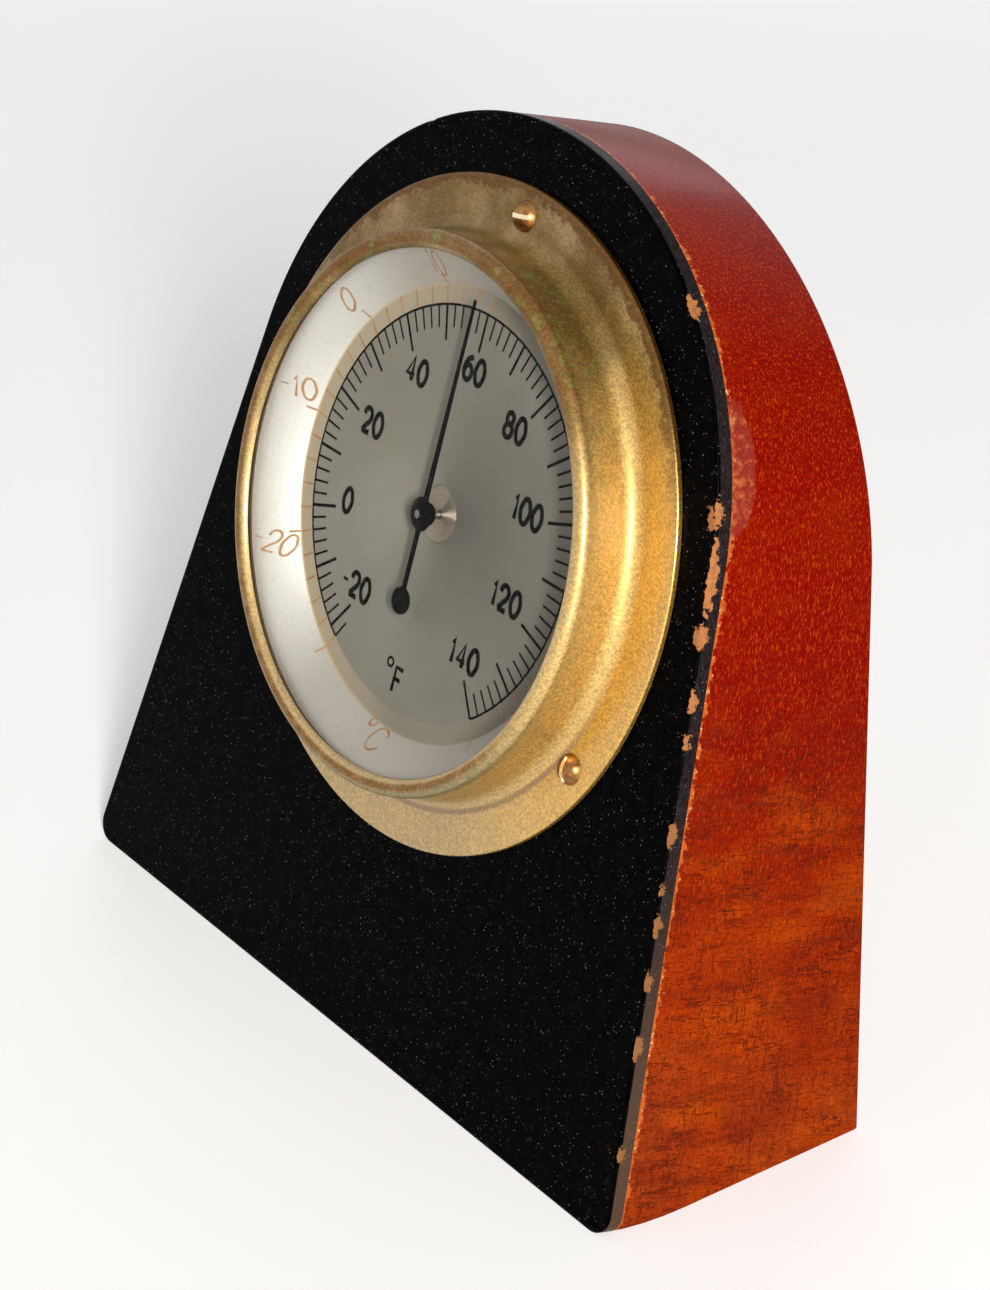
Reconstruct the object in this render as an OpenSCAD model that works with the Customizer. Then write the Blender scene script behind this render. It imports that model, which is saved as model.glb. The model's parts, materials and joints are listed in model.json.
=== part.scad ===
// Desk thermometer: a leaning arch-topped wooden block with a lacquered front layer,
// a screwed brass bezel with flat glass, a dished dial and a bimetal coil movement.
// The front faces -Y. The origin is the middle of the base.

/* [Wooden body] */
// Width of the base, measured on the front
body_w = 125; // [122:0.5:140]
// Height of the arch centre, measured up the leaning front
arch_centre = 77.5; // [76:0.5:90]
// Radius of the arch
arch_r = 50; // [48.5:0.5:54]
// Depth of the base from front to back
base_depth = 44; // [42:0.5:60]
// Lean of the front face from upright, in degrees
front_lean = 15; // [10:0.5:18]
// Lean of the back face from upright, in degrees
back_lean = 4; // [3:0.5:8]
// Radius of the rounded lower corners
corner_r = 3; // [1:0.5:6]

/* [Front panel] */
// Thickness of the lacquered front layer
panel_t = 2.4; // [1.8:0.1:4]
// Depth of the rebate in the panel that takes the flange of the case
rebate_depth = 1; // [0.6:0.1:1.4]

/* [Bezel] */
// Height of the middle of the dial, measured up the leaning front
dial_height = 74.3; // [72:0.1:80]
// Outer radius of the bezel flange
bezel_r = 45; // [43.5:0.5:48]
// Thickness of the bezel flange
flange_t = 1; // [0.6:0.1:1.6]
// Outer radius of the upright wall of the bezel
bezel_wall_r = 37.2; // [36.5:0.1:38]
// Thickness of the upright wall of the bezel
bezel_wall_t = 1; // [0.8:0.1:1.2]
// Radius of the hollow fillet between the flange and the wall
fillet_r = 2.6; // [1.5:0.1:3.5]
// Radius of the rolled rim
roll_r = 1.35; // [1.2:0.05:1.6]
// Radius of the head of a bezel screw
screw_head_r = 2.1; // [1.7:0.1:2.4]
// Height of the head of a bezel screw
screw_head_h = 1.5; // [1:0.1:2]
// Radius of the shank of a bezel screw
screw_shank_r = 1.1; // [0.8:0.1:1.3]
// Length of the shank of a bezel screw, from under its head
screw_len = 12; // [8:0.5:15]
// Turn of the ring of bezel screws from upright, in degrees, positive to the right
screw_turn = 1; // [0:0.5:3]
// Width of a screw slot
slot_w = 0.6; // [0.4:0.1:0.8]

/* [Glass and dial] */
// Thickness of the window glass
glass_t = 1; // [0.8:0.1:1.6]
// Thickness of the ring that seals the glass
gasket_t = 0.3; // [0.2:0.05:0.6]
// Height of the flat of the dial above the front panel
dial_z = 2.4; // [2.2:0.1:3]
// Thickness of the dial plate
dial_t = 0.5; // [0.4:0.05:0.7]
// Radius at which the flat of the dial turns up into its sloping border
kink_r = 30.3; // [29.5:0.1:31]
// Slope of the border, in degrees
border_angle = 45; // [38:1:50]
// Turn of the whole dial from upright, in degrees, positive to the right
dial_turn = -1.5; // [-3:0.5:3]
// Sweep of the scale from its lowest to its highest mark, in degrees
scale_sweep = 291.5; // [270:0.5:300]

/* [Case] */
// Depth of the case behind the front panel
case_depth = 19; // [18:0.5:20.5]
// Thickness of the wall of the case
case_t = 0.7; // [0.5:0.05:0.9]
// Width of the flange that the bezel clamps
case_flange_w = 2.9; // [1.5:0.1:3.2]
// Thickness of that flange
case_flange_t = 0.8; // [0.5:0.1:1]
// Number of vent holes in the case back
vent_count = 9; // [6:1:12]
// Radius of a vent hole
vent_r = 1.5; // [1:0.1:1.9]
// Radius of the circle of vent holes
vent_circle_r = 20; // [17:0.5:21]

/* [Movement] */
// Thickness of the plate behind the dial
plate_t = 1; // [0.8:0.1:1.4]
// Width of the plate beyond the circle of pillars
plate_edge = 2.8; // [2.2:0.1:3]
// Radius of a hole that lets air through the plate
plate_hole_r = 3.8; // [2:0.1:4]
// Radius of the circle of those holes
plate_hole_circle_r = 16.4; // [14:0.1:18]
// Radius of the circle of pillars and dial studs
pillar_circle_r = 27; // [25.5:0.5:27.5]
// Radius of a pillar
pillar_r = 1.6; // [1.4:0.1:2]
// Radius of the tenon of a pillar
tenon_r = 0.9; // [0.7:0.1:1.1]
// Radius of a pillar screw
pillar_screw_r = 0.7; // [0.5:0.1:0.9]
// Radius of a dial stud
stud_r = 0.8; // [0.6:0.1:1]
// Radius of the bright bush in the middle of the dial
bush_r = 3.75; // [3.4:0.05:4.2]
// Radius of the shank of the bush
bush_shank_r = 2.2; // [1.8:0.1:2.6]
// Radius of the spindle
spindle_r = 0.6; // [0.5:0.05:0.8]
// Radius of the rear pivot of the spindle
pivot_r = 0.35; // [0.25:0.05:0.45]
// Radius of the head of a pillar screw
pillar_head_r = 1.6; // [1.3:0.1:2]
// Radius of a dial nut, over its corners
dial_nut_r = 1.9; // [1.7:0.1:2.2]
// Radius of the bush nut, over its corners
bush_nut_r = 4; // [3.4:0.1:4.4]
// Thickness of the nuts
nut_t = 1.6; // [1.2:0.1:2]

/* [Coil] */
// Turns of the bimetal coil
coil_turns = 6; // [4:1:7]
// Thickness of the bimetal strip
strip_t = 0.45; // [0.3:0.05:0.6]
// Width of the bimetal strip
strip_w = 5; // [4:0.5:6]
// Gap between neighbouring turns
turn_gap = 1.4; // [1:0.1:1.6]
// Radius of the collet that grips the inner end
collet_r = 2.2; // [1.8:0.1:2.6]
// Radius of the stud that grips the outer end
coil_stud_r = 1.3; // [1.1:0.1:1.6]

/* [Pointer] */
// Height of the pointer above the flat of the dial
pointer_gap = 2.5; // [2:0.1:2.8]
// Thickness of the pointer
pointer_t = 0.3; // [0.2:0.05:0.4]
// Length of the pointer from the spindle to its tip
pointer_len = 29.4; // [27:0.1:30]
// Width of the pointer beside the hub
pointer_w = 0.9; // [0.6:0.1:1.4]
// Width of the pointer at its tip
tip_w = 0.4; // [0.3:0.05:0.6]
// Distance of the counterweight disc from the spindle
weight_arm = 12.2; // [10:0.1:14]
// Radius of the counterweight disc
weight_r = 1.85; // [1.4:0.05:2.4]
// Radius of the domed hub
hub_r = 2.3; // [1.9:0.1:2.8]
// Height of the dome above the pointer
dome_h = 1; // [0.8:0.1:1.2]
// Temperature that the pointer shows at rest, in degrees Fahrenheit
rest_reading = 60; // [-20:1:138]

/* [Adjuster] */
// Radius of the turning shank of the adjuster
adjuster_r = 4; // [3.4:0.1:4.5]
// Thickness of the arm of the adjuster
arm_t = 1; // [0.8:0.1:1.2]
// Width of the arm of the adjuster
arm_w = 5; // [4:0.5:6]
// Length of the slotted end that stands out of the case back
slotted_end = 1.6; // [1.2:0.1:2]
// Width of the flange of the adjuster round its shank
adjuster_flange_w = 1.6; // [1.2:0.1:2]
// Thickness of the spring washer under the adjuster
washer_t = 0.4; // [0.3:0.05:0.5]
// Thickness of the collar that keeps the adjuster in
collar_t = 0.7; // [0.5:0.05:0.8]
// Width of the collar
collar_w = 1.8; // [1.4:0.1:2.2]
// Depth of the screwdriver slot
adjuster_slot = 0.8; // [0.5:0.1:1]

/* [Fits] */
// Radial clearance of a turning fit
run_gap = 0.05; // [0.03:0.01:0.1]
// Clearance of a fixed fit
fit_gap = 0.05; // [0.03:0.01:0.1]
// Clearance around the glass, the dial and the case
loose_gap = 0.2; // [0.15:0.05:0.3]

/* [Hidden] */
$fn = 96;
arc_steps = 8;

// A length beyond the whole object, how far a cutter runs past what it cuts, how far joined
// shapes reach into each other, and how far the straight sides stay inside the arch
far = 400;
cut = 1;
join = 0.1;
side_inset = 0.02;

// The ends of the scale, in degrees Fahrenheit
low_mark = -22;
high_mark = 140;

// The arch and the straight sides that run off it to the corners of the base
arch_dist = norm([body_w / 2, arch_centre]);
side_r = arch_r - side_inset;
side_turn = acos(side_r / arch_dist) - atan2(arch_centre, body_w / 2);
side_end = [side_r * cos(side_turn), arch_centre + side_r * sin(side_turn)];
corner_angle = atan2(side_end[1], body_w / 2 - side_end[0]);
corner_in = corner_r / tan(corner_angle / 2);

// Radii of the bezel, the glass and the case
bezel_bore_r = bezel_wall_r - bezel_wall_t;
screw_circle_r = (bezel_wall_r + bezel_r) / 2;
glass_r = bezel_bore_r - loose_gap;
border_r = glass_r - loose_gap / 2;
case_r = bezel_bore_r - 3 * loose_gap;
bore_r = case_r + 2 * loose_gap;
case_flange_r = case_r + case_flange_w;

// Heights above the front panel, from the dial up to the rim
border_t = dial_t / cos(border_angle);
border_in_r = border_r - dial_t / sin(border_angle);
border_z = dial_z + (border_in_r - kink_r) * tan(border_angle);
gasket_z = border_z + gasket_t;
glass_top = gasket_z + glass_t;
roll_z = glass_top - 0.4;
case_top = dial_z + (case_r - case_t - kink_r) * tan(border_angle) - border_t - loose_gap / 2;

// Heights behind the front panel, from the dial down to the case back
plate_top = dial_z - dial_t;
plate_low = plate_top - plate_t;
plate_r = pillar_circle_r + plate_edge;
case_floor = -case_depth + case_t;
arm_low = case_floor + washer_t + fit_gap;
arm_top = arm_low + arm_t;
pivot_depth = 2;
pivot_low = arm_top - pivot_depth;
nut_low = plate_low - nut_t;
bush_low = nut_low - 0.6;
bush_sink = 0.1;
pillar_screw_len = 3.5;
pillar_head_h = pillar_head_r * 0.6;
coil_mid = (arm_top + nut_low) / 2;
coil_low = coil_mid - strip_w / 2;
coil_high = coil_mid + strip_w / 2;

// The spiral of the bimetal strip
pitch = strip_t + turn_gap;
coil_r0 = collet_r + fit_gap + strip_t / 2;
coil_r1 = coil_r0 + pitch * coil_turns;
strip_slot = strip_t + 0.5;
steps_per_turn = 24;
collet_over = 1;

// The pointer and the reading that it shows at rest
pointer_z = dial_z + pointer_gap;
pointer_top = pointer_z + pointer_t;
eye_r = 1.1;
hub_collar_r = 1.5;
hub_low = pointer_z - 0.9;
hub_dimple = 0.3;
reading_share = (rest_reading - (low_mark + high_mark) / 2) / (high_mark - low_mark);
rest_angle = dial_turn + reading_share * scale_sweep;

// Carries shapes drawn on the leaning front: X to the right, Y up the face, Z out of it
module on_front() {
    translate([0, -base_depth / 2, 0]) rotate([90 - front_lean, 0, 0]) children();
}

// The same, from the middle of the dial
module on_dial() {
    on_front() translate([0, dial_height, 0]) children();
}

// Puts copies on a circle round the dial axis, the first at the given clock angle
module around(count, radius, first = 0) {
    for (i = [0 : count - 1])
        rotate([0, 0, -first - i * 360 / count]) translate([0, radius, 0]) children();
}

// A disc between two heights on the dial axis
module disc(r, low, high) {
    translate([0, 0, low]) cylinder(r = r, h = high - low);
}

// A ring between two heights on the dial axis
module ring(r_out, r_in, low, high) {
    difference() {
        disc(r_out, low, high);
        disc(r_in, low - cut, high + cut);
    }
}

// Points of an arc, in the order of its angles
function arc(centre, r, from, to, steps = arc_steps) =
    [for (i = [0 : steps]) let (a = from + (to - from) * i / steps) centre + r * [cos(a), sin(a)]];

// The front outline: an arch on straight sides with rounded lower corners
module outline() {
    right = arc([body_w / 2 - corner_in, corner_r], corner_r, -90, 90 - corner_angle);
    left = [for (i = [len(right) - 1 : -1 : 0]) [-right[i][0], right[i][1]]];
    translate([0, arch_centre]) circle(r = arch_r, $fn = 180);
    polygon(concat(right, [side_end, [0, arch_centre], [-side_end[0], side_end[1]]], left));
}

// Everything above the base and in front of the leaning back
module inside_wedge() {
    top = 2 * arch_centre;
    translate([-body_w, -base_depth / 2, 0]) rotate([90, 0, 90]) linear_extrude(2 * body_w)
        polygon([[-top, 0], [base_depth, 0], [base_depth + top * tan(back_lean), top], [-top, top]]);
}

module wooden_body() {
    color([0.50, 0.16, 0.06]) difference() {
        intersection() {
            on_front() translate([0, 0, -far / 2]) linear_extrude(far / 2 - panel_t) outline();
            inside_wedge();
        }
        on_dial() disc(bore_r, -far, cut);
        on_dial() around(3, screw_circle_r, screw_turn)
            disc(screw_shank_r + fit_gap, flange_t - screw_len - loose_gap, cut);
    }
}

module front_panel() {
    color([0.05, 0.05, 0.055]) difference() {
        intersection() {
            on_front() translate([0, 0, -panel_t]) linear_extrude(panel_t) outline();
            inside_wedge();
        }
        on_dial() {
            disc(bore_r, -panel_t - cut, cut);
            disc(case_flange_r + loose_gap, -rebate_depth, cut);
            around(3, screw_circle_r, screw_turn) disc(screw_shank_r + fit_gap, -panel_t - cut, cut);
        }
    }
}

// Half section of the bezel: flange, hollow fillet, wall and rolled rim over the glass
module bezel_section() {
    fillet_in = bezel_wall_r + fillet_r;
    roll_centre = [bezel_wall_r - roll_r, roll_z];
    lip_angle = 180 - asin((glass_top - roll_z) / roll_r);
    edge_r = flange_t * 0.4;
    polygon(concat(
        [[bezel_bore_r, 0], [bezel_r, 0]],
        arc([bezel_r - edge_r, flange_t - edge_r], edge_r, 0, 90, 4),
        arc([fillet_in, flange_t + fillet_r], fillet_r, 270, 180),
        arc(roll_centre, roll_r, 0, lip_angle, 14),
        [[bezel_bore_r, glass_top]]
    ));
}

module bezel() {
    color([0.72, 0.55, 0.25]) on_dial() difference() {
        rotate_extrude() bezel_section();
        around(3, screw_circle_r, screw_turn) {
            disc(screw_shank_r + fit_gap, -cut, flange_t + cut);
            disc(screw_head_r + fit_gap, flange_t, flange_t + screw_head_h);
        }
    }
}

// A round-headed screw that stands on height zero and points down
module round_screw(head_r, head_h, shank_r, length, slot_turn) {
    dome_r = (head_r * head_r + head_h * head_h) / (2 * head_h);
    difference() {
        intersection() {
            translate([0, 0, head_h - dome_r]) sphere(r = dome_r);
            disc(head_r, 0, head_h + cut);
        }
        rotate([0, 0, slot_turn]) translate([-far / 2, -slot_w / 2, head_h / 2])
            cube([far, slot_w, head_h]);
    }
    disc(shank_r, -length, join);
}

module bezel_screws() {
    slot_turns = [8, 100, 55];
    color([0.70, 0.50, 0.24]) on_dial()
        for (i = [0 : 2]) let (turn = screw_turn + 120 * i)
            rotate([0, 0, -turn]) translate([0, screw_circle_r, flange_t])
                round_screw(screw_head_r, screw_head_h, screw_shank_r, screw_len, slot_turns[i] + turn);
}

module window_glass() {
    color([0.85, 0.90, 0.90, 0.35]) on_dial() disc(glass_r, gasket_z, glass_top);
}

module glass_gasket() {
    color([0.25, 0.20, 0.14]) on_dial() ring(glass_r, border_in_r, border_z, gasket_z);
}

// The dial is a flat disc inside a sloping border
module dial() {
    under = (1 - cos(border_angle)) / sin(border_angle) * dial_t;
    color([0.72, 0.71, 0.66]) on_dial() rotate_extrude() polygon([
        [bush_r + fit_gap, plate_top], [kink_r + under, plate_top],
        [border_r, border_z], [border_in_r, border_z],
        [kink_r, dial_z], [bush_r + fit_gap, dial_z]
    ]);
}

module dial_studs() {
    color([0.70, 0.70, 0.66]) on_dial() around(3, pillar_circle_r, 60)
        disc(stud_r, nut_low - stud_r / 2, plate_top);
}

// A hexagonal nut under the plate
module hex_nut(r, hole_r) {
    difference() {
        translate([0, 0, nut_low]) cylinder(r = r, h = nut_t, $fn = 6);
        disc(hole_r, nut_low - cut, plate_low + cut);
    }
}

module dial_nuts() {
    color([0.66, 0.52, 0.26]) on_dial() around(3, pillar_circle_r, 60)
        hex_nut(dial_nut_r, stud_r + fit_gap);
}

module case_cup() {
    color([0.60, 0.47, 0.24]) on_dial() difference() {
        union() {
            disc(case_r, -case_depth, case_top);
            disc(case_flange_r, -case_flange_t, 0);
        }
        disc(case_r - case_t, case_floor, case_top + cut);
        disc(adjuster_r + run_gap, -case_depth - cut, 0);
        around(vent_count, vent_circle_r) disc(vent_r, -case_depth - cut, 0);
        around(3, pillar_circle_r) disc(pillar_screw_r + fit_gap, -case_depth - cut, 0);
    }
}

module movement_plate() {
    color([0.66, 0.53, 0.28]) on_dial() difference() {
        disc(plate_r, plate_low, plate_top);
        disc(bush_shank_r + fit_gap, plate_low - cut, plate_top + cut);
        around(3, pillar_circle_r) disc(tenon_r + fit_gap, plate_low - cut, plate_top + cut);
        around(3, pillar_circle_r, 60) disc(stud_r + fit_gap, plate_low - cut, plate_top + cut);
        around(6, plate_hole_circle_r, 30) disc(plate_hole_r, plate_low - cut, plate_top + cut);
    }
}

module pillars() {
    color([0.70, 0.56, 0.28]) on_dial() around(3, pillar_circle_r) difference() {
        union() {
            disc(pillar_r, case_floor, plate_low);
            disc(tenon_r, plate_low - join, plate_top);
        }
        disc(pillar_screw_r + fit_gap, case_floor - cut, case_floor + pillar_screw_len + loose_gap);
    }
}

module pillar_screws() {
    color([0.55, 0.55, 0.55]) on_dial() around(3, pillar_circle_r)
        translate([0, 0, -case_depth]) rotate([180, 0, 0])
            round_screw(pillar_head_r, pillar_head_h, pillar_screw_r, case_t + pillar_screw_len, 35);
}

module centre_bush() {
    color([0.80, 0.64, 0.34]) on_dial() difference() {
        union() {
            disc(bush_r, plate_top, dial_z - bush_sink);
            disc(bush_shank_r, bush_low, plate_top + join);
        }
        disc(spindle_r + run_gap, bush_low - cut, dial_z + cut);
    }
}

module bush_nut() {
    color([0.66, 0.52, 0.26]) on_dial()
        hex_nut(bush_nut_r, bush_shank_r + fit_gap);
}

module spindle() {
    color([0.55, 0.56, 0.58]) on_dial() {
        disc(spindle_r, arm_top + loose_gap, pointer_top + dome_h - hub_dimple);
        disc(pivot_r, pivot_low + loose_gap, arm_top + loose_gap + join);
    }
}

module pointer() {
    color([0.04, 0.04, 0.045]) on_dial() rotate([0, 0, -rest_angle])
        translate([0, 0, pointer_z]) linear_extrude(pointer_t) difference() {
            union() {
                circle(r = hub_r * 0.85);
                polygon([[-pointer_w / 2, 0], [pointer_w / 2, 0],
                    [tip_w / 2, pointer_len], [-tip_w / 2, pointer_len]]);
                translate([-pointer_w * 0.4, -weight_arm]) square([pointer_w * 0.8, weight_arm]);
                translate([0, -weight_arm]) circle(r = weight_r);
            }
            circle(r = eye_r + fit_gap);
        }
}

// The hub grips the spindle below the pointer and covers the eye with a dome
module pointer_hub() {
    dome_r = (hub_r * hub_r + dome_h * dome_h) / (2 * dome_h);
    color([0.05, 0.05, 0.05]) on_dial() difference() {
        union() {
            disc(eye_r, hub_low, pointer_top + join);
            disc(hub_collar_r, hub_low, pointer_z);
            intersection() {
                translate([0, 0, pointer_top + dome_h - dome_r]) sphere(r = dome_r);
                disc(hub_r, pointer_top, pointer_top + dome_h);
            }
        }
        disc(spindle_r + fit_gap, hub_low - cut, pointer_top + dome_h + cut);
    }
}

module coil_collet() {
    color([0.68, 0.54, 0.28]) on_dial()
        ring(collet_r, spindle_r + fit_gap, coil_low - collet_over, coil_high + collet_over);
}

// A flat spiral from the collet out to the stud
module bimetal_coil() {
    steps = coil_turns * steps_per_turn;
    function at(i, side) =
        let (turns = (i - steps) / steps_per_turn, r = coil_r1 + pitch * turns + side * strip_t / 2)
        r * [sin(turns * 360), cos(turns * 360)];
    color([0.62, 0.60, 0.52]) on_dial() translate([0, 0, coil_low]) linear_extrude(strip_w)
        polygon(concat([for (i = [0 : steps]) at(i, 1)], [for (i = [steps : -1 : 0]) at(i, -1)]));
}

// The stud stands on the arm of the adjuster, and its slot grips the outer end of the coil
module coil_stud() {
    color([0.70, 0.56, 0.28]) on_dial() translate([0, coil_r1, 0]) difference() {
        disc(coil_stud_r, arm_top, coil_high + collet_over);
        translate([-far / 2, -strip_slot / 2, coil_low - loose_gap]) cube([far, strip_slot, far]);
    }
}

// The adjuster turns in the case back and carries the stud on its arm
module adjuster() {
    low = -case_depth - slotted_end;
    color([0.66, 0.52, 0.26]) on_dial() difference() {
        union() {
            disc(adjuster_r + adjuster_flange_w, arm_low, arm_top);
            translate([-arm_w / 2, 0, arm_low]) cube([arm_w, coil_r1, arm_t]);
            translate([0, coil_r1, 0]) disc(arm_w / 2, arm_low, arm_top);
            disc(adjuster_r, low, arm_low + join);
        }
        disc(pivot_r + run_gap, pivot_low, arm_top + cut);
        translate([-far / 2, -slot_w / 2, low - cut]) cube([far, slot_w, cut + adjuster_slot]);
    }
}

module adjuster_washer() {
    color([0.58, 0.58, 0.56]) on_dial()
        ring(adjuster_r + adjuster_flange_w, adjuster_r + loose_gap, case_floor, case_floor + washer_t);
}

module adjuster_collar() {
    color([0.60, 0.48, 0.25]) on_dial()
        ring(adjuster_r + collar_w, adjuster_r + fit_gap,
            -case_depth - fit_gap - collar_t, -case_depth - fit_gap);
}

wooden_body();
front_panel();
bezel();
bezel_screws();
window_glass();
glass_gasket();
dial();
dial_studs();
dial_nuts();
case_cup();
movement_plate();
pillars();
pillar_screws();
centre_bush();
bush_nut();
spindle();
pointer();
pointer_hub();
coil_collet();
bimetal_coil();
coil_stud();
adjuster();
adjuster_washer();
adjuster_collar();
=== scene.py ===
"""Looks of a desk thermometer: a leaning wooden block, a black front layer, a brass bezel, a
dished dial with two printed scales and a black pointer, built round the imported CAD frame."""

import json
import logging
import math
from collections.abc import Iterable, Sequence
from dataclasses import dataclass, field
from enum import Enum
from typing import Any

import bmesh
import bpy
from bmesh.types import BMEdge, BMesh, BMFace, BMVert
from bpy.types import Material, Node, NodeSocket, NodeTree, Object
from mathutils import Matrix, Vector, noise

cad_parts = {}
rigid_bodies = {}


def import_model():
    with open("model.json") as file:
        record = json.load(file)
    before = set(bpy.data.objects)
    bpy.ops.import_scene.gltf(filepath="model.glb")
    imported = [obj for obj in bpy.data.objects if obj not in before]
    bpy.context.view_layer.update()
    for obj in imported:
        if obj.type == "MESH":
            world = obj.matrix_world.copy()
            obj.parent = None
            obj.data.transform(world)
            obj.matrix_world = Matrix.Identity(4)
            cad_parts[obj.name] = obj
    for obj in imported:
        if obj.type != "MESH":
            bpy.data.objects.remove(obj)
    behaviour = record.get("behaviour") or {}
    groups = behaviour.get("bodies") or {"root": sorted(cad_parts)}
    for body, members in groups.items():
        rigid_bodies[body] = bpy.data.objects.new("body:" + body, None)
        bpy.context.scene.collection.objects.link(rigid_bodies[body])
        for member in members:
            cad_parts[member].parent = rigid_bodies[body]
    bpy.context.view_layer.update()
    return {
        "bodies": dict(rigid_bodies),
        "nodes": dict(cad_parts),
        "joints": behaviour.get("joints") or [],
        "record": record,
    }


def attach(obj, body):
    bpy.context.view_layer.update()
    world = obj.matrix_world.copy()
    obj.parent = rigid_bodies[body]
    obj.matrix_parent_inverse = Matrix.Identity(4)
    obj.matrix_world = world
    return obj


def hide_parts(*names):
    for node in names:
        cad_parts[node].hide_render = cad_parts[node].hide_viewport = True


log = logging.getLogger("thermometer")
MM = 0.001
BASE_GAP = 0.02  # millimetres between the ground and the cut base
BORE_STEPS = 192  # edges round the bore
WHITE = (1.0, 1.0, 1.0, 1.0)
AGED = {"Color": "Color", "Roughness": "Float", "Height": "Float", "Coat": "Float"}


class Body(Enum):
    """The parts of the object that move as one."""

    BLOCK = "block"
    ADJUSTER = "adjuster"
    POINTER = "pointer"


class Finish(Enum):
    """The record's material slots."""

    MAHOGANY = "mahogany"
    LACQUER = "black_lacquer"
    BEZEL = "aged_brass"
    SCREW = "screw_brass"
    GLASS = "window_glass"
    CARD = "gasket_card"
    DIAL = "silvered_dial"
    ENAMEL = "black_enamel"
    INK = "scale_ink"
    CASE = "case_brass"
    INNER = "inner_brass"
    BUSH = "bush_brass"
    STEEL = "steel"
    BIMETAL = "bimetal"


@dataclass(frozen=True)
class Place:
    """Where the leaning front and the dial stand, in millimetres and degrees."""

    base_depth: float = 44.0
    front_lean: float = 15.0
    back_lean: float = 4.0
    dial_height: float = 74.3

    def front(self) -> Matrix:
        """Takes millimetres on the front (right, up the face, out of it) to metres in the row."""
        turn = Matrix.Rotation(math.radians(90 - self.front_lean), 4, "X")
        return Matrix.Translation((0, -self.base_depth / 2 * MM, 0)) @ turn @ Matrix.Scale(MM, 4)

    def dial(self) -> Matrix:
        """The same, from the middle of the dial."""
        return self.front() @ Matrix.Translation((0, self.dial_height, 0))


PLACE = Place()


# Shader wiring


def linear(colour: Any) -> Any:
    """Turns a screen colour of 0 to 255 into the linear colour that a shader takes.

    Args:
        colour: red, green and blue, or a value.
    Returns:
        The linear colour, or the value as it is.
    """
    if isinstance(colour, Value):
        return colour
    shares = [part / 255 for part in colour]
    return (*[c / 12.92 if c <= 0.04045 else ((c + 0.055) / 1.055) ** 2.4 for c in shares], 1.0)


@dataclass(frozen=True)
class Value:
    """A node's output, which can be reckoned with like a number or a vector."""

    wires: "Wires"
    socket: NodeSocket

    def __add__(self, other: Any) -> "Value":
        """Adds another value or a number."""
        return self.wires.math("ADD", self, other)

    def __sub__(self, other: Any) -> "Value":
        """Takes another value or a number away."""
        return self.wires.math("SUBTRACT", self, other)

    def __rsub__(self, other: float) -> "Value":
        """Takes this value away from a number."""
        return self.wires.math("SUBTRACT", other, self)

    def __mul__(self, other: Any) -> "Value":
        """Multiplies by another value or a number."""
        return self.wires.math("MULTIPLY", self, other)

    def __truediv__(self, other: Any) -> "Value":
        """Divides by another value."""
        return self.wires.math("DIVIDE", self, other)

    def __abs__(self) -> "Value":
        """Drops the sign."""
        return self.wires.math("ABSOLUTE", self)

    def most(self, other: "Value") -> "Value":
        """Gives the larger of two values."""
        return self.wires.math("MAXIMUM", self, other)

    def least(self, other: "Value") -> "Value":
        """Gives the smaller of two values."""
        return self.wires.math("MINIMUM", self, other)

    def reach(self, up: "Value") -> "Value":
        """Gives the distance from the axis of a point this far right and that far up."""
        return self.wires.math("SQRT", self * self + up * up)

    def step(self, low: float, high: float, to_low: float = 0.0, to_high: float = 1.0) -> "Value":
        """Goes smoothly from one level, where this value is low, to another, where it is high."""
        given = {"Value": self, "From Min": low, "From Max": high, "To Min": to_low, "To Max": to_high}
        return self.wires.out("ShaderNodeMapRange", given, interpolation_type="SMOOTHSTEP")

    def parts(self) -> list["Value"]:
        """Gives the three coordinates of a vector."""
        node = self.wires.add("ShaderNodeSeparateXYZ", {0: self})
        return [Value(self.wires, output) for output in node.outputs]

    def scaled(self, x: float, y: float, z: float, shift: float = 0.0) -> "Value":
        """Stretches the coordinates of a pattern, and shifts them so that two patterns differ."""
        given = {"Vector": self, "Location": (shift, shift, shift), "Scale": (x, y, z)}
        return self.wires.out("ShaderNodeMapping", given)

    def cloud(self, scale: float = 1.0, detail: float = 3.0, rough: float = 0.5) -> "Value":
        """Gives the grey of a cloudy pattern at these coordinates."""
        given = {"Vector": self, "Scale": scale, "Detail": detail, "Roughness": rough}
        return self.wires.out("ShaderNodeTexNoise", given)

    def away(self, point: Sequence[float]) -> "Value":
        """Gives the way from a point to this place, as a vector."""
        return self.wires.out("ShaderNodeVectorMath", {0: self, 1: point}, operation="SUBTRACT")

    def length(self) -> "Value":
        """Gives the length of a vector."""
        return self.wires.out("ShaderNodeVectorMath", {0: self}, "Value", operation="LENGTH")


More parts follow.
